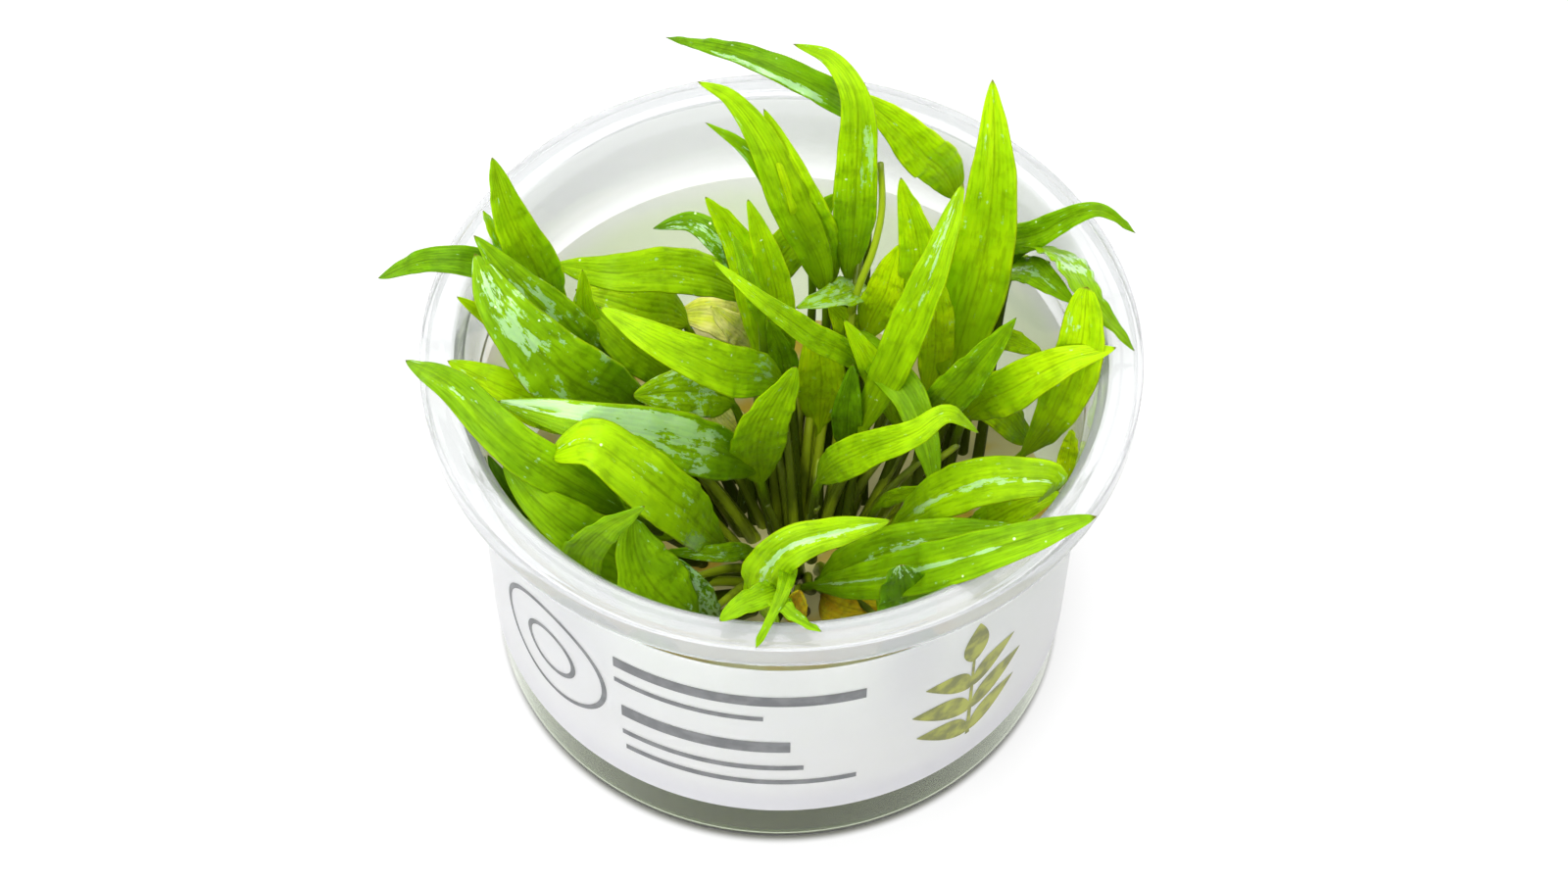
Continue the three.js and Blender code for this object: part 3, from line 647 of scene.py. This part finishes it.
def clear_plastic_material():
    """Thin clear moulded plastic, faintly cloudy in long soft streaks and milky in the flange. Lower down it
    is tinted green, painted light standing in for the green light from the leaves inside.
    """
    material, surface, place = new_material("clear_plastic")
    height = split_up(place)[2]
    streaks = noise_of(place, 30, 3, (1, 1, 4))
    # Below about 44 mm the tint is green: painted light from the leaves
    clear = mixed(ranged(height, 0.044, 0.052), (0.88, 0.975, 0.76, 1), (0.96, 0.985, 0.955, 1))
    below_flange = ranged(height, 0.050, 0.062, 1.0, 0.0)
    bump(surface, product(streaks, below_flange), 0.0002, 0.05)
    dress(surface, {
        "Base Color": mixed(ranged(height, 0.052, 0.062), clear, (0.79, 0.80, 0.81, 1)),
        "Transmission Weight": ranged(height, 0.052, 0.060, 1.0, 0.74),
        "Roughness": ranged(streaks, 0.3, 0.75, 0.03, 0.1),
        "IOR": 1.28,
    })
    return material


def paper_material():
    """Satin white label paper."""
    material, surface, place = new_material("label_paper")
    mottle = noise_of(place, 140, 4)
    bump(surface, noise_of(place, 1500, 2), 0.0001, 0.2)
    dress(surface, {
        "Base Color": mixed(mottle, (0.87, 0.865, 0.865, 1), (0.91, 0.905, 0.905, 1)),
        "Roughness": ranged(mottle, 0.2, 0.8, 0.38, 0.5),
        "Subsurface Weight": 1.0,
        "Subsurface Radius": (1.0, 1.0, 0.9),
        "Subsurface Scale": 0.002,
    })
    return material


def gel_material():
    """Clear nutrient gel, wet: cream at its surface, partly its own pale colour and partly painted light,
    with a faint painted glow, and dark olive further down, which is painted shade.
    """
    material, surface, place = new_material("nutrient_gel")
    top = ranged(split_up(place)[2], 0.0135, 0.0158)
    amber = ranged(noise_of(place, 75, 3), 0.5, 0.62)
    cream = mixed(amber, (0.90, 0.84, 0.38, 1), (0.88, 0.62, 0.08, 1))
    ripple = noise_of(place, 180, 3)
    bump(surface, ripple, 0.0008, 0.3)
    # Cream at the top is partly the gel's own colour and partly painted light, its emission is a painted
    # glow, and the dark olive lower down is painted shade
    dress(surface, {
        "Base Color": mixed(top, (0.10, 0.10, 0.01, 1), cream),
        "Emission Color": mixed(top, (0, 0, 0, 1), cream),
        "Emission Strength": 0.1,
        "Transmission Weight": total(product(top, -0.35), 0.7),
        "IOR": 1.12,
        "Roughness": ranged(ripple, 0.3, 0.7, 0.05, 0.2),
    })
    tree = surface.id_data
    absorption = add_node(tree, "ShaderNodeVolumeAbsorption")
    dress(absorption, {"Color": (0.55, 0.54, 0.10, 1), "Density": 60})
    put(tree.nodes["Material Output"].inputs["Volume"], absorption.outputs["Volume"])
    return material


def two_tone_material(name, pattern, edges, colours, roughness, grain):
    """A material that varies between two colours. Grain is the scale of its fine relief, if it has one."""
    material, surface, place = new_material(name)
    tone = ranged(noise_of(place, *pattern), *edges)
    dress(surface, {"Base Color": mixed(tone, *colours), "Roughness": roughness})
    if grain:
        bump(surface, noise_of(place, grain, 2), 0.0002, 0.4)
    return material


def floor_material():
    """A plain pale studio floor that glows, but hardly at all under the cup, where the dark is a painted
    shadow of the cup.
    """
    material, surface, place = new_material("studio_floor")
    distance = add_node(place.id_data, "ShaderNodeVectorMath", operation="LENGTH")
    put(distance.inputs[0], place)
    # Under the cup the floor hardly glows: a painted shadow
    open_floor = ranged(distance.outputs["Value"], 0.0435, 0.045)
    dress(surface, {
        "Base Color": mixed(noise_of(place, 3, 2), (0.24, 0.24, 0.24, 1), (0.26, 0.26, 0.26, 1)),
        "Roughness": 0.8,
        "Emission Color": mixed(open_floor, (0.03, 0.03, 0.0, 1), (1, 1, 1, 1)),
        "Emission Strength": FLOOR_GLOW,
    })
    return material


def make_materials():
    materials = {}
    for name, (light, dark) in LEAF_TONES.items():
        stalk = BROWN_STALK if name == "amber" else OLIVE_STALK
        materials[name] = leaf_material(f"leaf_{name}", light, dark, stalk)
    materials["plastic"] = clear_plastic_material()
    materials["paper"] = paper_material()
    materials["gel"] = gel_material()
    grey = ((0.10, 0.105, 0.11, 1), (0.15, 0.155, 0.16, 1))
    green = ((0.13, 0.14, 0.02, 1), (0.30, 0.32, 0.03, 1))
    brown = ((0.30, 0.30, 0.08, 1), (0.62, 0.64, 0.34, 1))
    olive = ((0.10, 0.14, 0.006, 1), (0.40, 0.52, 0.014, 1))
    for name, pattern, edges, colours, roughness, grain in (
        ("grey_ink", (350, 3), (0.35, 0.65), grey, 0.45, None),
        ("green_ink", (350, 3), (0.35, 0.65), green, 0.45, None),
        ("roots", (160, 3), (0.4, 0.6), brown, 0.5, 1200),
        ("crown_stalks", (130, 3, (1, 1, 0.4)), (0.4, 0.62), olive, 0.3, 700),
    ):
        materials[name] = two_tone_material(name, pattern, edges, colours, roughness, grain)
    return materials


# Leaves

def spline_points(knots):
    """Points on a centripetal Catmull-Rom curve through the knots."""
    knots = np.asarray(knots, dtype=float)
    ends = [2 * knots[0] - knots[1], 2 * knots[-1] - knots[-2]]
    padded = np.vstack([ends[0], knots, ends[1]])
    points = []
    for i in range(len(knots) - 1):
        p0, p1, p2, p3 = padded[i:i + 4]
        d0, d1, d2 = (np.linalg.norm(b - a) ** 0.5 for a, b in ((p0, p1), (p1, p2), (p2, p3)))
        t1 = ((p1 - p0) / d0 - (p2 - p0) / (d0 + d1) + (p2 - p1) / d1) * d1
        t2 = ((p2 - p1) / d1 - (p3 - p1) / (d1 + d2) + (p3 - p2) / d2) * d1
        t = np.arange(SAMPLES_PER_SPAN)[:, None] / SAMPLES_PER_SPAN
        chord = p2 - p1
        curve = (3 * chord - 2 * t1 - t2) * t ** 2 + (t1 + t2 - 2 * chord) * t ** 3
        points.append(p1 + t1 * t + curve)
    return np.vstack([*points, knots[-1:]])


def blade_shape(leaf, place):
    """The blade's width from its foot at 0 to its tip at 1, as a share of the full width."""
    widest = leaf["widest"]
    taper = leaf["taper"]
    rise = (place / widest) ** (taper * widest)
    fall = ((1 - place) / (1 - widest)) ** (taper * (1 - widest))
    return rise * fall


def leaf_spine(leaf):
    """The leaf's stations from the stalk's end in the gel to the tip: their places, tangents and how far
    along the blade they are, below 0 on the stalk."""
    x, y = leaf["root"]
    dense = spline_points([(x, y, STALK_START), *leaf["points"]])
    steps = np.linalg.norm(np.diff(dense, axis=0), axis=1)
    lengths = np.concatenate([[0], np.cumsum(steps)])
    blade_start = lengths[SAMPLES_PER_SPAN]
    stalk = np.linspace(0, blade_start, STALK_STATIONS, endpoint=False)
    share = np.linspace(0, 1, BLADE_STATIONS)
    blade = blade_start + (lengths[-1] - blade_start) * share
    wanted = np.concatenate([stalk, blade])
    centres = np.column_stack([np.interp(wanted, lengths, dense[:, axis]) for axis in range(3)])
    along = np.concatenate([stalk / blade_start - 1, share])
    foot = np.array([[x, y, STALK_START - STALK_IN_GEL], [x, y, STALK_START - STALK_IN_GEL / 2]])
    centres = np.vstack([foot, centres])
    along = np.concatenate([[-1.2, -1.1], along])
    tangents = np.gradient(centres, axis=0)
    tangents /= np.linalg.norm(tangents, axis=1)[:, None]
    return centres, tangents, along


def carried_normals(tangents, along, face):
    """The upper side's direction, carried from the blade's middle to every station without twisting."""
    def carry(normal, tangent):
        flat = normal - tangent * np.dot(normal, tangent)
        return flat / np.linalg.norm(flat)

    middle = int(np.argmin(np.abs(along - 0.5)))
    normals = np.zeros_like(tangents)
    normals[middle] = carry(np.asarray(face, dtype=float), tangents[middle])
    for i in range(middle + 1, len(tangents)):
        normals[i] = carry(normals[i - 1], tangents[i])
    for i in range(middle - 1, -1, -1):
        normals[i] = carry(normals[i + 1], tangents[i])
    return normals


def leaf_widths(leaf, along):
    """Half the width, and half the thickness, of each station."""
    place = np.clip(along, 0, 1)
    stalk = STALK_ROOT_RADIUS + (STALK_TOP_RADIUS - STALK_ROOT_RADIUS) * np.clip(along + 1, 0, 1)
    pointed = STALK_TOP_RADIUS * np.minimum(1, (1 - place) / 0.06)
    blade = np.maximum(blade_shape(leaf, place) * leaf["width"] / 2, pointed)
    half = np.where(along < 0, stalk, blade)
    thick = stalk + (BLADE_SKIN - stalk) * smooth_step(along, -0.02, 0.16)
    thick = thick * np.minimum(1, (1 - place) / 0.05 + 0.15)
    return half, thick


def places_across():
    """Places from one edge of a blade, at -1, to the other, at 1, closer together near the edges."""
    even = np.linspace(-1, 1, ACROSS)
    return 0.5 * even + 0.5 * np.sin(even * np.pi / 2)


def folded(half, fold, blade, u):
    """How far each place is raised by the fold at the midrib, less a droop at the edges."""
    rise = np.sqrt(u ** 2 + 0.03) - math.sqrt(0.03)
    return (half * np.sin(fold))[:, None] * rise - (half * blade * 0.10)[:, None] * u ** 4


def edge_waves(chance, place, length, u):
    """Waves along each edge, for every station and place across."""
    turn = 2 * np.pi * place * length / chance.uniform(11, 15)
    waves = np.zeros((len(place), len(u)))
    for sign in (-1, 1):
        phase = chance.uniform(0, 2 * np.pi)
        ripple = np.sin(turn + phase) + 0.5 * np.sin(turn * 1.7 + phase * 2)
        waves += ripple[:, None] * np.clip(sign * u, 0, 1) ** 2
    return waves


def edge_play(chance, place, blade, u):
    """A little unevenness in how far each edge stands out, as a factor for every place on the blade."""
    factor = np.ones((len(place), len(u)))
    for sign in (-1, 1):
        uneven = np.zeros(len(place))
        for cycles, size in ((2, 0.03), (5, 0.015)):
            uneven += size * np.sin(2 * np.pi * (cycles * place + chance.random()))
        factor += (blade * uneven)[:, None] * np.clip(sign * u, 0, 1)
    return factor


def midrib(half, place, blade, u):
    """How far the midrib stands out below the blade, and how deep its groove is above."""
    rib = np.exp(-(half[:, None] * u / RIB_WIDTH) ** 2)
    size = blade * (0.42 * (1 - place) + 0.06)
    groove = blade * 0.12 * (1 - place)
    return size[:, None] * rib, groove[:, None] * rib


def leaf_surface(leaf, seed):
    """The upper and lower points of each station, as arrays of stations by places across."""
    centres, tangents, along = leaf_spine(leaf)
    normals = carried_normals(tangents, along, leaf["face"])
    sides = np.cross(tangents, normals)
    half, thick = leaf_widths(leaf, along)
    chance = random.Random(seed)
    u = places_across()
    place = np.clip(along, 0, 1)
    blade = smooth_step(along, 0.0, 0.2)
    fold = np.radians(leaf["fold"]) * np.minimum(1, place / 0.5)
    length = np.linalg.norm(np.diff(centres, axis=0), axis=1).sum()
    wave = 0.7 * leaf["wave"] * blade * np.sin(np.pi * place) ** 0.5
    raised = folded(half, fold, blade, u) + wave[:, None] * edge_waves(chance, place, length, u)
    across = (half * np.cos(fold))[:, None] * u * edge_play(chance, place, blade, u)
    skin = thick[:, None] * np.sqrt(np.clip(1 - u ** 2, 0, 1))
    rib, groove = midrib(half, place, blade, u)
    flat = centres[:, None, :] + sides[:, None, :] * across[..., None]
    upper = flat + normals[:, None, :] * (raised + skin - groove)[..., None]
    lower = flat + normals[:, None, :] * (raised - skin - rib)[..., None]
    return upper, lower, u, along


def leaf_mesh(leaf, seed):
    """The points, faces and UVs of a closed leaf. UVs hold the places across and along the blade."""
    upper, lower, u, along = leaf_surface(leaf, seed)
    ring = 2 * ACROSS - 2
    rows = np.concatenate([upper, lower[:, -2:0:-1]], axis=1)
    stations = len(rows) - 1
    vertices = rows[:-1].reshape(-1, 3).tolist()
    tip = len(vertices)
    vertices.append(upper[-1, ACROSS // 2].tolist())
    ring_u = np.concatenate([u, u[-2:0:-1]])
    uvs = [(place_u, along[i]) for i in range(stations) for place_u in ring_u]
    uvs.append((0.0, 1.0))
    faces = [list(range(ring)), *ring_faces(stations, ring)]
    last = (stations - 1) * ring
    faces.extend([last + j, last + (j + 1) % ring, tip] for j in range(ring))
    return vertices, faces, uvs


def paint_wetness(mesh, leaf_name, uvs, seed):
    """Give every point of a leaf its wetness, from 0 to 1, and the leaf's own number."""
    sideways, along = np.asarray(uvs, dtype=float).T
    wetness = np.zeros(len(uvs))
    for start, end, low, high, amount in WET_PLACES.get(leaf_name, ()):
        inside = between(along, start, end, 0.05) * between(sideways, low, high, 0.08)
        wetness = np.maximum(wetness, amount * inside)
    layer = mesh.attributes.new(WETNESS, "FLOAT_VECTOR", "POINT")
    values = np.stack([wetness, np.full(len(uvs), float(seed)), np.zeros(len(uvs))], axis=1)
    layer.data.foreach_set("vector", values.astype(np.float32).ravel())


def add_leaf(name, leaf, seed, materials):
    vertices, faces, uvs = leaf_mesh(leaf, seed)
    piece = add_piece(name, vertices, faces, materials[leaf["finish"]], uvs)
    paint_wetness(piece.data, name.removeprefix("looks_"), uvs, seed)
    return piece


def add_leaves(materials):
    for seed, (node, leaf) in enumerate(LEAVES.items()):
        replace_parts(add_leaf(f"looks_{node}", leaf, seed, materials), node)
    for seed, (name, leaf) in enumerate(SMALL_LEAVES.items(), FIRST_YOUNG_SEED):
        add_leaf(name, leaf, seed, materials)


# Cup, label and gel

def body_radius(height):
    share = (height - FOOT_FILLET) / (COLLAR_FOOT - FOOT_FILLET)
    return BODY_FOOT_RADIUS + (BODY_TOP_RADIUS - BODY_FOOT_RADIUS) * share


def fillet(radius, size, lift=0.0):
    """A quarter circle from the bottom, at the height of lift, out to the radius."""
    angles = [step / FILLET_STEPS * math.pi / 2 for step in range(FILLET_STEPS + 1)]
    return [(radius - size + size * math.sin(a), lift + size - size * math.cos(a)) for a in angles]


def cup_outline():
    """The cup's closed outline: up its outside, over the flange and its lip, and down its inside."""
    top = CUP_HEIGHT
    groove = top - GROOVE_DEPTH
    collar_top = top - COLLAR_DROP
    outer_foot = fillet(BODY_FOOT_RADIUS, FOOT_FILLET)
    inner_foot = fillet(BODY_FOOT_RADIUS - WALL, FOOT_FILLET - WALL, WALL)
    edge = [
        outer_foot[-1],
        (BODY_TOP_RADIUS, COLLAR_FOOT),
        (COLLAR_TOP_RADIUS, collar_top - WALL),
        (FLANGE_INNER_RADIUS, top - WALL),
        (FLANGE_RADIUS - WALL, top - WALL),
        (FLANGE_RADIUS - WALL, top - LIP_DEPTH),
        (FLANGE_RADIUS, top - LIP_DEPTH),
        (FLANGE_RADIUS, top),
        (GROOVE_OUTER_RADIUS, top),
        (GROOVE_OUTER_RADIUS - GROOVE_SLOPE, groove),
        (GROOVE_INNER_RADIUS + GROOVE_SLOPE, groove),
        (GROOVE_INNER_RADIUS, top),
        (FLANGE_INNER_RADIUS, top),
        (COLLAR_TOP_RADIUS - WALL, collar_top),
        (BODY_TOP_RADIUS - WALL, COLLAR_FOOT),
        inner_foot[-1],
    ]
    under = [(0, BASE_RAISE), (BASE_MIDDLE_RADIUS, BASE_RAISE), (BASE_RING_RADIUS, 0)]
    over = [(radius, height + WALL) for radius, height in reversed(under)]
    return [*under, *outer_foot[:-1], *rounded(edge, CUP_EDGE_REACH), *inner_foot[-2::-1], *over]


def add_cup(materials):
    vertices, faces = lathe(cup_outline())
    cup = add_piece("clear_cup", vertices, faces, materials["plastic"], sharp_angle=50)
    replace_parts(cup, "cup")


def label_radius(height):
    return body_radius(height) + LABEL_GAP + LABEL_THICKNESS


def add_label(materials):
    inner = [(body_radius(z) + LABEL_GAP, z) for z in (LABEL_BOTTOM, LABEL_TOP)]
    outer = [(label_radius(z), z) for z in (LABEL_TOP, LABEL_BOTTOM)]
    vertices, faces = lathe([*inner, *outer])
    label = add_piece("paper_label", vertices, faces, materials["paper"], sharp_angle=50)
    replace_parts(label, "label")


def on_label(along, height):
    """A place just off the label's surface, so far round to the right of its front and so high."""
    radius = label_radius(height) + PRINT_LIFT
    angle = along / radius
    return (radius * math.sin(angle), -radius * math.cos(angle), height)


def strip_mesh(strips):
    """Points and faces of flat strips on the label. A strip is two lists of places, one down each side."""
    vertices = []
    faces = []
    for left, right in strips:
        first = len(vertices)
        for a, b in zip(left, right):
            for share in np.linspace(0, 1, PRINT_COLUMNS):
                vertices.append(on_label(a[0] + (b[0] - a[0]) * share, a[1] + (b[1] - a[1]) * share))
        for i in range(len(left) - 1):
            for j in range(PRINT_COLUMNS - 1):
                a = first + i * PRINT_COLUMNS + j
                faces.append([a, a + 1, a + PRINT_COLUMNS + 1, a + PRINT_COLUMNS])
    return vertices, faces


def bar(start, end, height, thickness):
    """A straight printed bar along the label."""
    places = np.linspace(start, end, max(2, int((end - start) / 0.8)))
    return [(x, height - thickness / 2) for x in places], [(x, height + thickness / 2) for x in places]


def printed_ring(centre, radius, thickness):
    angles = np.linspace(0, 2 * np.pi, 97)
    sides = []
    for r in (radius - thickness / 2, radius + thickness / 2):
        sides.append([(centre[0] + r * math.cos(a), centre[1] + r * math.sin(a)) for a in angles])
    return sides


def printed_leaf(foot, tip, width, bend):
    """A printed leaf shape from its foot to its tip, bent to one side."""
    foot = Vector(foot)
    tip = Vector(tip)
    line = tip - foot
    across = Vector((-line.y, line.x)).normalized()
    left = []
    right = []
    for t in np.linspace(0, 1, 25):
        centre = foot + line * t + across * bend * math.sin(math.pi * t)
        half = width / 2 * math.sin(math.pi * t ** 0.8) ** 0.9 + 0.05
        left.append(tuple(centre - across * half))
        right.append(tuple(centre + across * half))
    return left, right


def text_bars():
    """Plain bars where the label has its lines of print."""
    rows = [
        (-25, 13, 42.5, 2.6),
        (-25, -2, 37.6, 1.2),
        (-24, 2, 29.5, 3.0),
        (-24, 4, 23.4, 1.3),
        (-23.5, 12, 19.2, 1.3),
    ]
    return [bar(*row) for row in rows]


def badge_strips():
    """A plain round badge: two rings."""
    centre = (-38, 32)
    return [printed_ring(centre, 11, 0.9), printed_ring(centre, 5, 0.9)]


def sprig_strips():
    """A plain upright sprig with paired leaves."""
    x = 31
    stem = [(x - 0.4, 17), (x - 0.25, 40)], [(x + 0.4, 17), (x + 0.25, 40)]
    leaves = [printed_leaf((x, 38), (x + 0.5, 48), 4.6, 0)]
    for height, reach, width in ((18, 9.5, 4.4), (24.5, 10.5, 4.8), (31, 8.5, 4.2)):
        for sign in (-1, 1):
            leaves.append(printed_leaf((x, height), (x + sign * reach, height + 6), width, sign * 1.1))
    return [stem, *leaves]


def add_print(materials):
    for name, strips, ink in (
        ("printed_bars", text_bars() + badge_strips(), "grey_ink"),
        ("printed_sprig", sprig_strips(), "green_ink"),
    ):
        vertices, faces = strip_mesh(strips)
        piece = add_piece(name, vertices, faces, materials[ink])


def gel_outline():
    """The gel's outline: across its foot, up its side with a small lip at the wall, and over its top."""
    foot = fillet(BODY_FOOT_RADIUS - WALL - GEL_GAP, FOOT_FILLET - WALL, GEL_FOOT)
    side = body_radius(GEL_DEPTH) - WALL - GEL_GAP
    rim = [(side, GEL_DEPTH + 0.8), (side - 0.3, GEL_DEPTH + 0.5), (side - 1.2, GEL_DEPTH + 0.1)]
    top = [(radius, GEL_DEPTH) for radius in np.linspace(side - 2.5, 2, 30)]
    return [(0, GEL_FOOT), *foot, *rim, *top, (0, GEL_DEPTH)]


def add_gel(materials):
    vertices, faces = lathe(gel_outline(), 128)
    vertices = np.array(vertices)
    for point in vertices:
        radius = math.hypot(point[0], point[1])
        if point[2] > GEL_DEPTH - 0.1 and radius < BODY_FOOT_RADIUS - 2.5:
            point[2] += GEL_WAVE * noise.noise(Vector((point[0] * 0.18, point[1] * 0.18, 0.5)))
    gel = add_piece("nutrient_gel", vertices, faces, materials["gel"], sharp_angle=60)
    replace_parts(gel, "gel")


# Roots and stalks

def tube(path, radii, sides=8):
    """Points and faces of a round tube along a path, with closed ends."""
    path = np.asarray(path, dtype=float)
    tangents = np.gradient(path, axis=0)
    tangents /= np.linalg.norm(tangents, axis=1)[:, None]
    guide = np.array([0.0, 0.0, 1.0]) if abs(tangents[0][2]) < 0.9 else np.array([1.0, 0.0, 0.0])
    vertices = []
    for centre, tangent, radius in zip(path, tangents, radii):
        first = np.cross(tangent, guide)
        first /= np.linalg.norm(first)
        second = np.cross(tangent, first)
        guide = np.cross(first, tangent)
        for j in range(sides):
            angle = 2 * math.pi * j / sides
            vertices.append(centre + radius * (first * math.cos(angle) + second * math.sin(angle)))
    last = (len(path) - 1) * sides
    return vertices, [list(range(sides)), list(range(last, last + sides)), *ring_faces(len(path), sides)]


def joined(parts):
    """Several lists of points and faces as one."""
    vertices = []
    faces = []
    for part_vertices, part_faces in parts:
        first = len(vertices)
        vertices.extend(part_vertices)
        faces.extend([[first + corner for corner in face] for face in part_faces])
    return vertices, faces


def root_path(x, y, chance):
    """A root's path from the foot of a stalk outwards and down, kept inside the gel."""
    heading = chance.uniform(0, 2 * math.pi)
    reach = chance.uniform(10, 34)
    depth = chance.uniform(3, 9)
    end_x = max(-ROOT_SIDE_LIMIT, min(ROOT_SIDE_LIMIT, x + reach * math.cos(heading)))
    end_y = max(-ROOT_SIDE_LIMIT, min(ROOT_SIDE_LIMIT, y + reach * math.sin(heading)))
    far = math.hypot(end_x, end_y)
    if far > ROOT_REACH_LIMIT:
        end_x, end_y = end_x * ROOT_REACH_LIMIT / far, end_y * ROOT_REACH_LIMIT / far
    knots = [
        (x, y, 13),
        (x + (end_x - x) * 0.3, y + (end_y - y) * 0.3 + chance.uniform(-3, 3), depth + 3),
        (x + (end_x - x) * 0.7 + chance.uniform(-3, 3), y + (end_y - y) * 0.7, depth),
        (end_x, end_y, chance.uniform(2.6, 10)),
    ]
    return spline_points(knots)[::6]


def add_roots(materials):
    chance = random.Random(ROOT_SEED)
    starts = [leaf["root"] for leaf in LEAVES.values()]
    parts = []
    for i in range(ROOT_COUNT):
        path = root_path(*starts[i % len(starts)], chance)
        radii = np.linspace(ROOT_RADIUS * 1.4, ROOT_RADIUS * 0.5, len(path))
        parts.append(tube(path, radii, 6))
    vertices, faces = joined(parts)
    piece = add_piece("roots", vertices, faces, materials["roots"])


def add_crown_stalks(materials):
    """Stalks that fan out from the middle of the crown to the leaves."""
    chance = random.Random(CROWN_SEED)
    parts = []
    for leaf in LEAVES.values():
        root = Vector((*leaf["root"], STALK_START))
        start = CROWN.lerp(root, 0.45) + Vector((chance.uniform(-1, 1), chance.uniform(-1, 1), -3))
        end = root.lerp(Vector(leaf["points"][0]), chance.uniform(0.6, 0.85))
        middle = start.lerp(end, 0.5)
        middle.z += 0.15 * (end.z - start.z)
        path = spline_points([start, middle, end])[::6]
        parts.append(tube(path, np.linspace(*CROWN_STALK_RADII, len(path))))
    bent = spline_points(BENT_STALK)[::8]
    parts.append(tube(bent, np.linspace(*BENT_STALK_RADII, len(bent))))
    vertices, faces = joined(parts)
    piece = add_piece("crown_stalks", vertices, faces, materials["crown_stalks"])


# Studio

def add_floor():
    mesh = bpy.data.meshes.new("studio_floor")
    sides = ((-1, -1), (1, -1), (1, 1), (-1, 1))
    corners = [(x * FLOOR_REACH, y * FLOOR_REACH, FLOOR_HEIGHT) for x, y in sides]
    mesh.from_pydata(corners, [], [[0, 1, 2, 3]])
    mesh.materials.append(floor_material())
    link_object("studio_floor", mesh)


def add_softbox(name, place, size, power):
    light = bpy.data.lights.new(name, "AREA")
    light.shape = "RECTANGLE"
    light.size, light.size_y = (side * METRES for side in size)
    light.energy = power
    lamp = link_object(name, light)
    lamp.location = Vector(place) * METRES
    aim = (LIGHT_TARGET - Vector(place)).to_track_quat("-Z", "Y")
    lamp.rotation_euler = aim.to_euler()


def add_lights():
    add_softbox("top_softbox", (-160, -300, 950), (760, 620), 6)
    add_softbox("back_softbox", (-60, 620, 780), (800, 600), 5)
    add_softbox("front_softbox", (-450, -800, 500), (700, 700), 4.5)
    world = bpy.data.worlds.new("studio")
    world.use_nodes = True
    background = world.node_tree.nodes["Background"]
    background.inputs["Color"].default_value = (1, 1, 1, 1)
    background.inputs["Strength"].default_value = 0.95
    bpy.context.scene.world = world


def add_camera():
    """The camera looks down at the target from the front, turned slightly about its own axis."""
    camera = bpy.data.cameras.new("camera")
    camera.sensor_width = SENSOR_WIDTH
    camera.lens = SENSOR_WIDTH * FOCAL_PIXELS / IMAGE_WIDTH
    holder = link_object("camera", camera)
    back = Vector((0, -math.cos(CAMERA_ELEVATION), math.sin(CAMERA_ELEVATION)))
    level_up = Vector((0, math.sin(CAMERA_ELEVATION), math.cos(CAMERA_ELEVATION)))
    level_right = Vector((1, 0, 0))
    right = level_right * math.cos(CAMERA_ROLL) + level_up * math.sin(CAMERA_ROLL)
    up = level_up * math.cos(CAMERA_ROLL) - level_right * math.sin(CAMERA_ROLL)
    turn = Matrix((right, up, back)).transposed().to_4x4()
    holder.matrix_world = Matrix.Translation((CAMERA_TARGET + back * CAMERA_DISTANCE) * METRES) @ turn
    bpy.context.scene.camera = holder


materials = make_materials()
add_camera()
add_lights()
add_floor()
add_cup(materials)
add_label(materials)
add_print(materials)
add_gel(materials)
add_roots(materials)
add_crown_stalks(materials)
add_leaves(materials)
bpy.context.scene.view_settings.view_transform = "Standard"
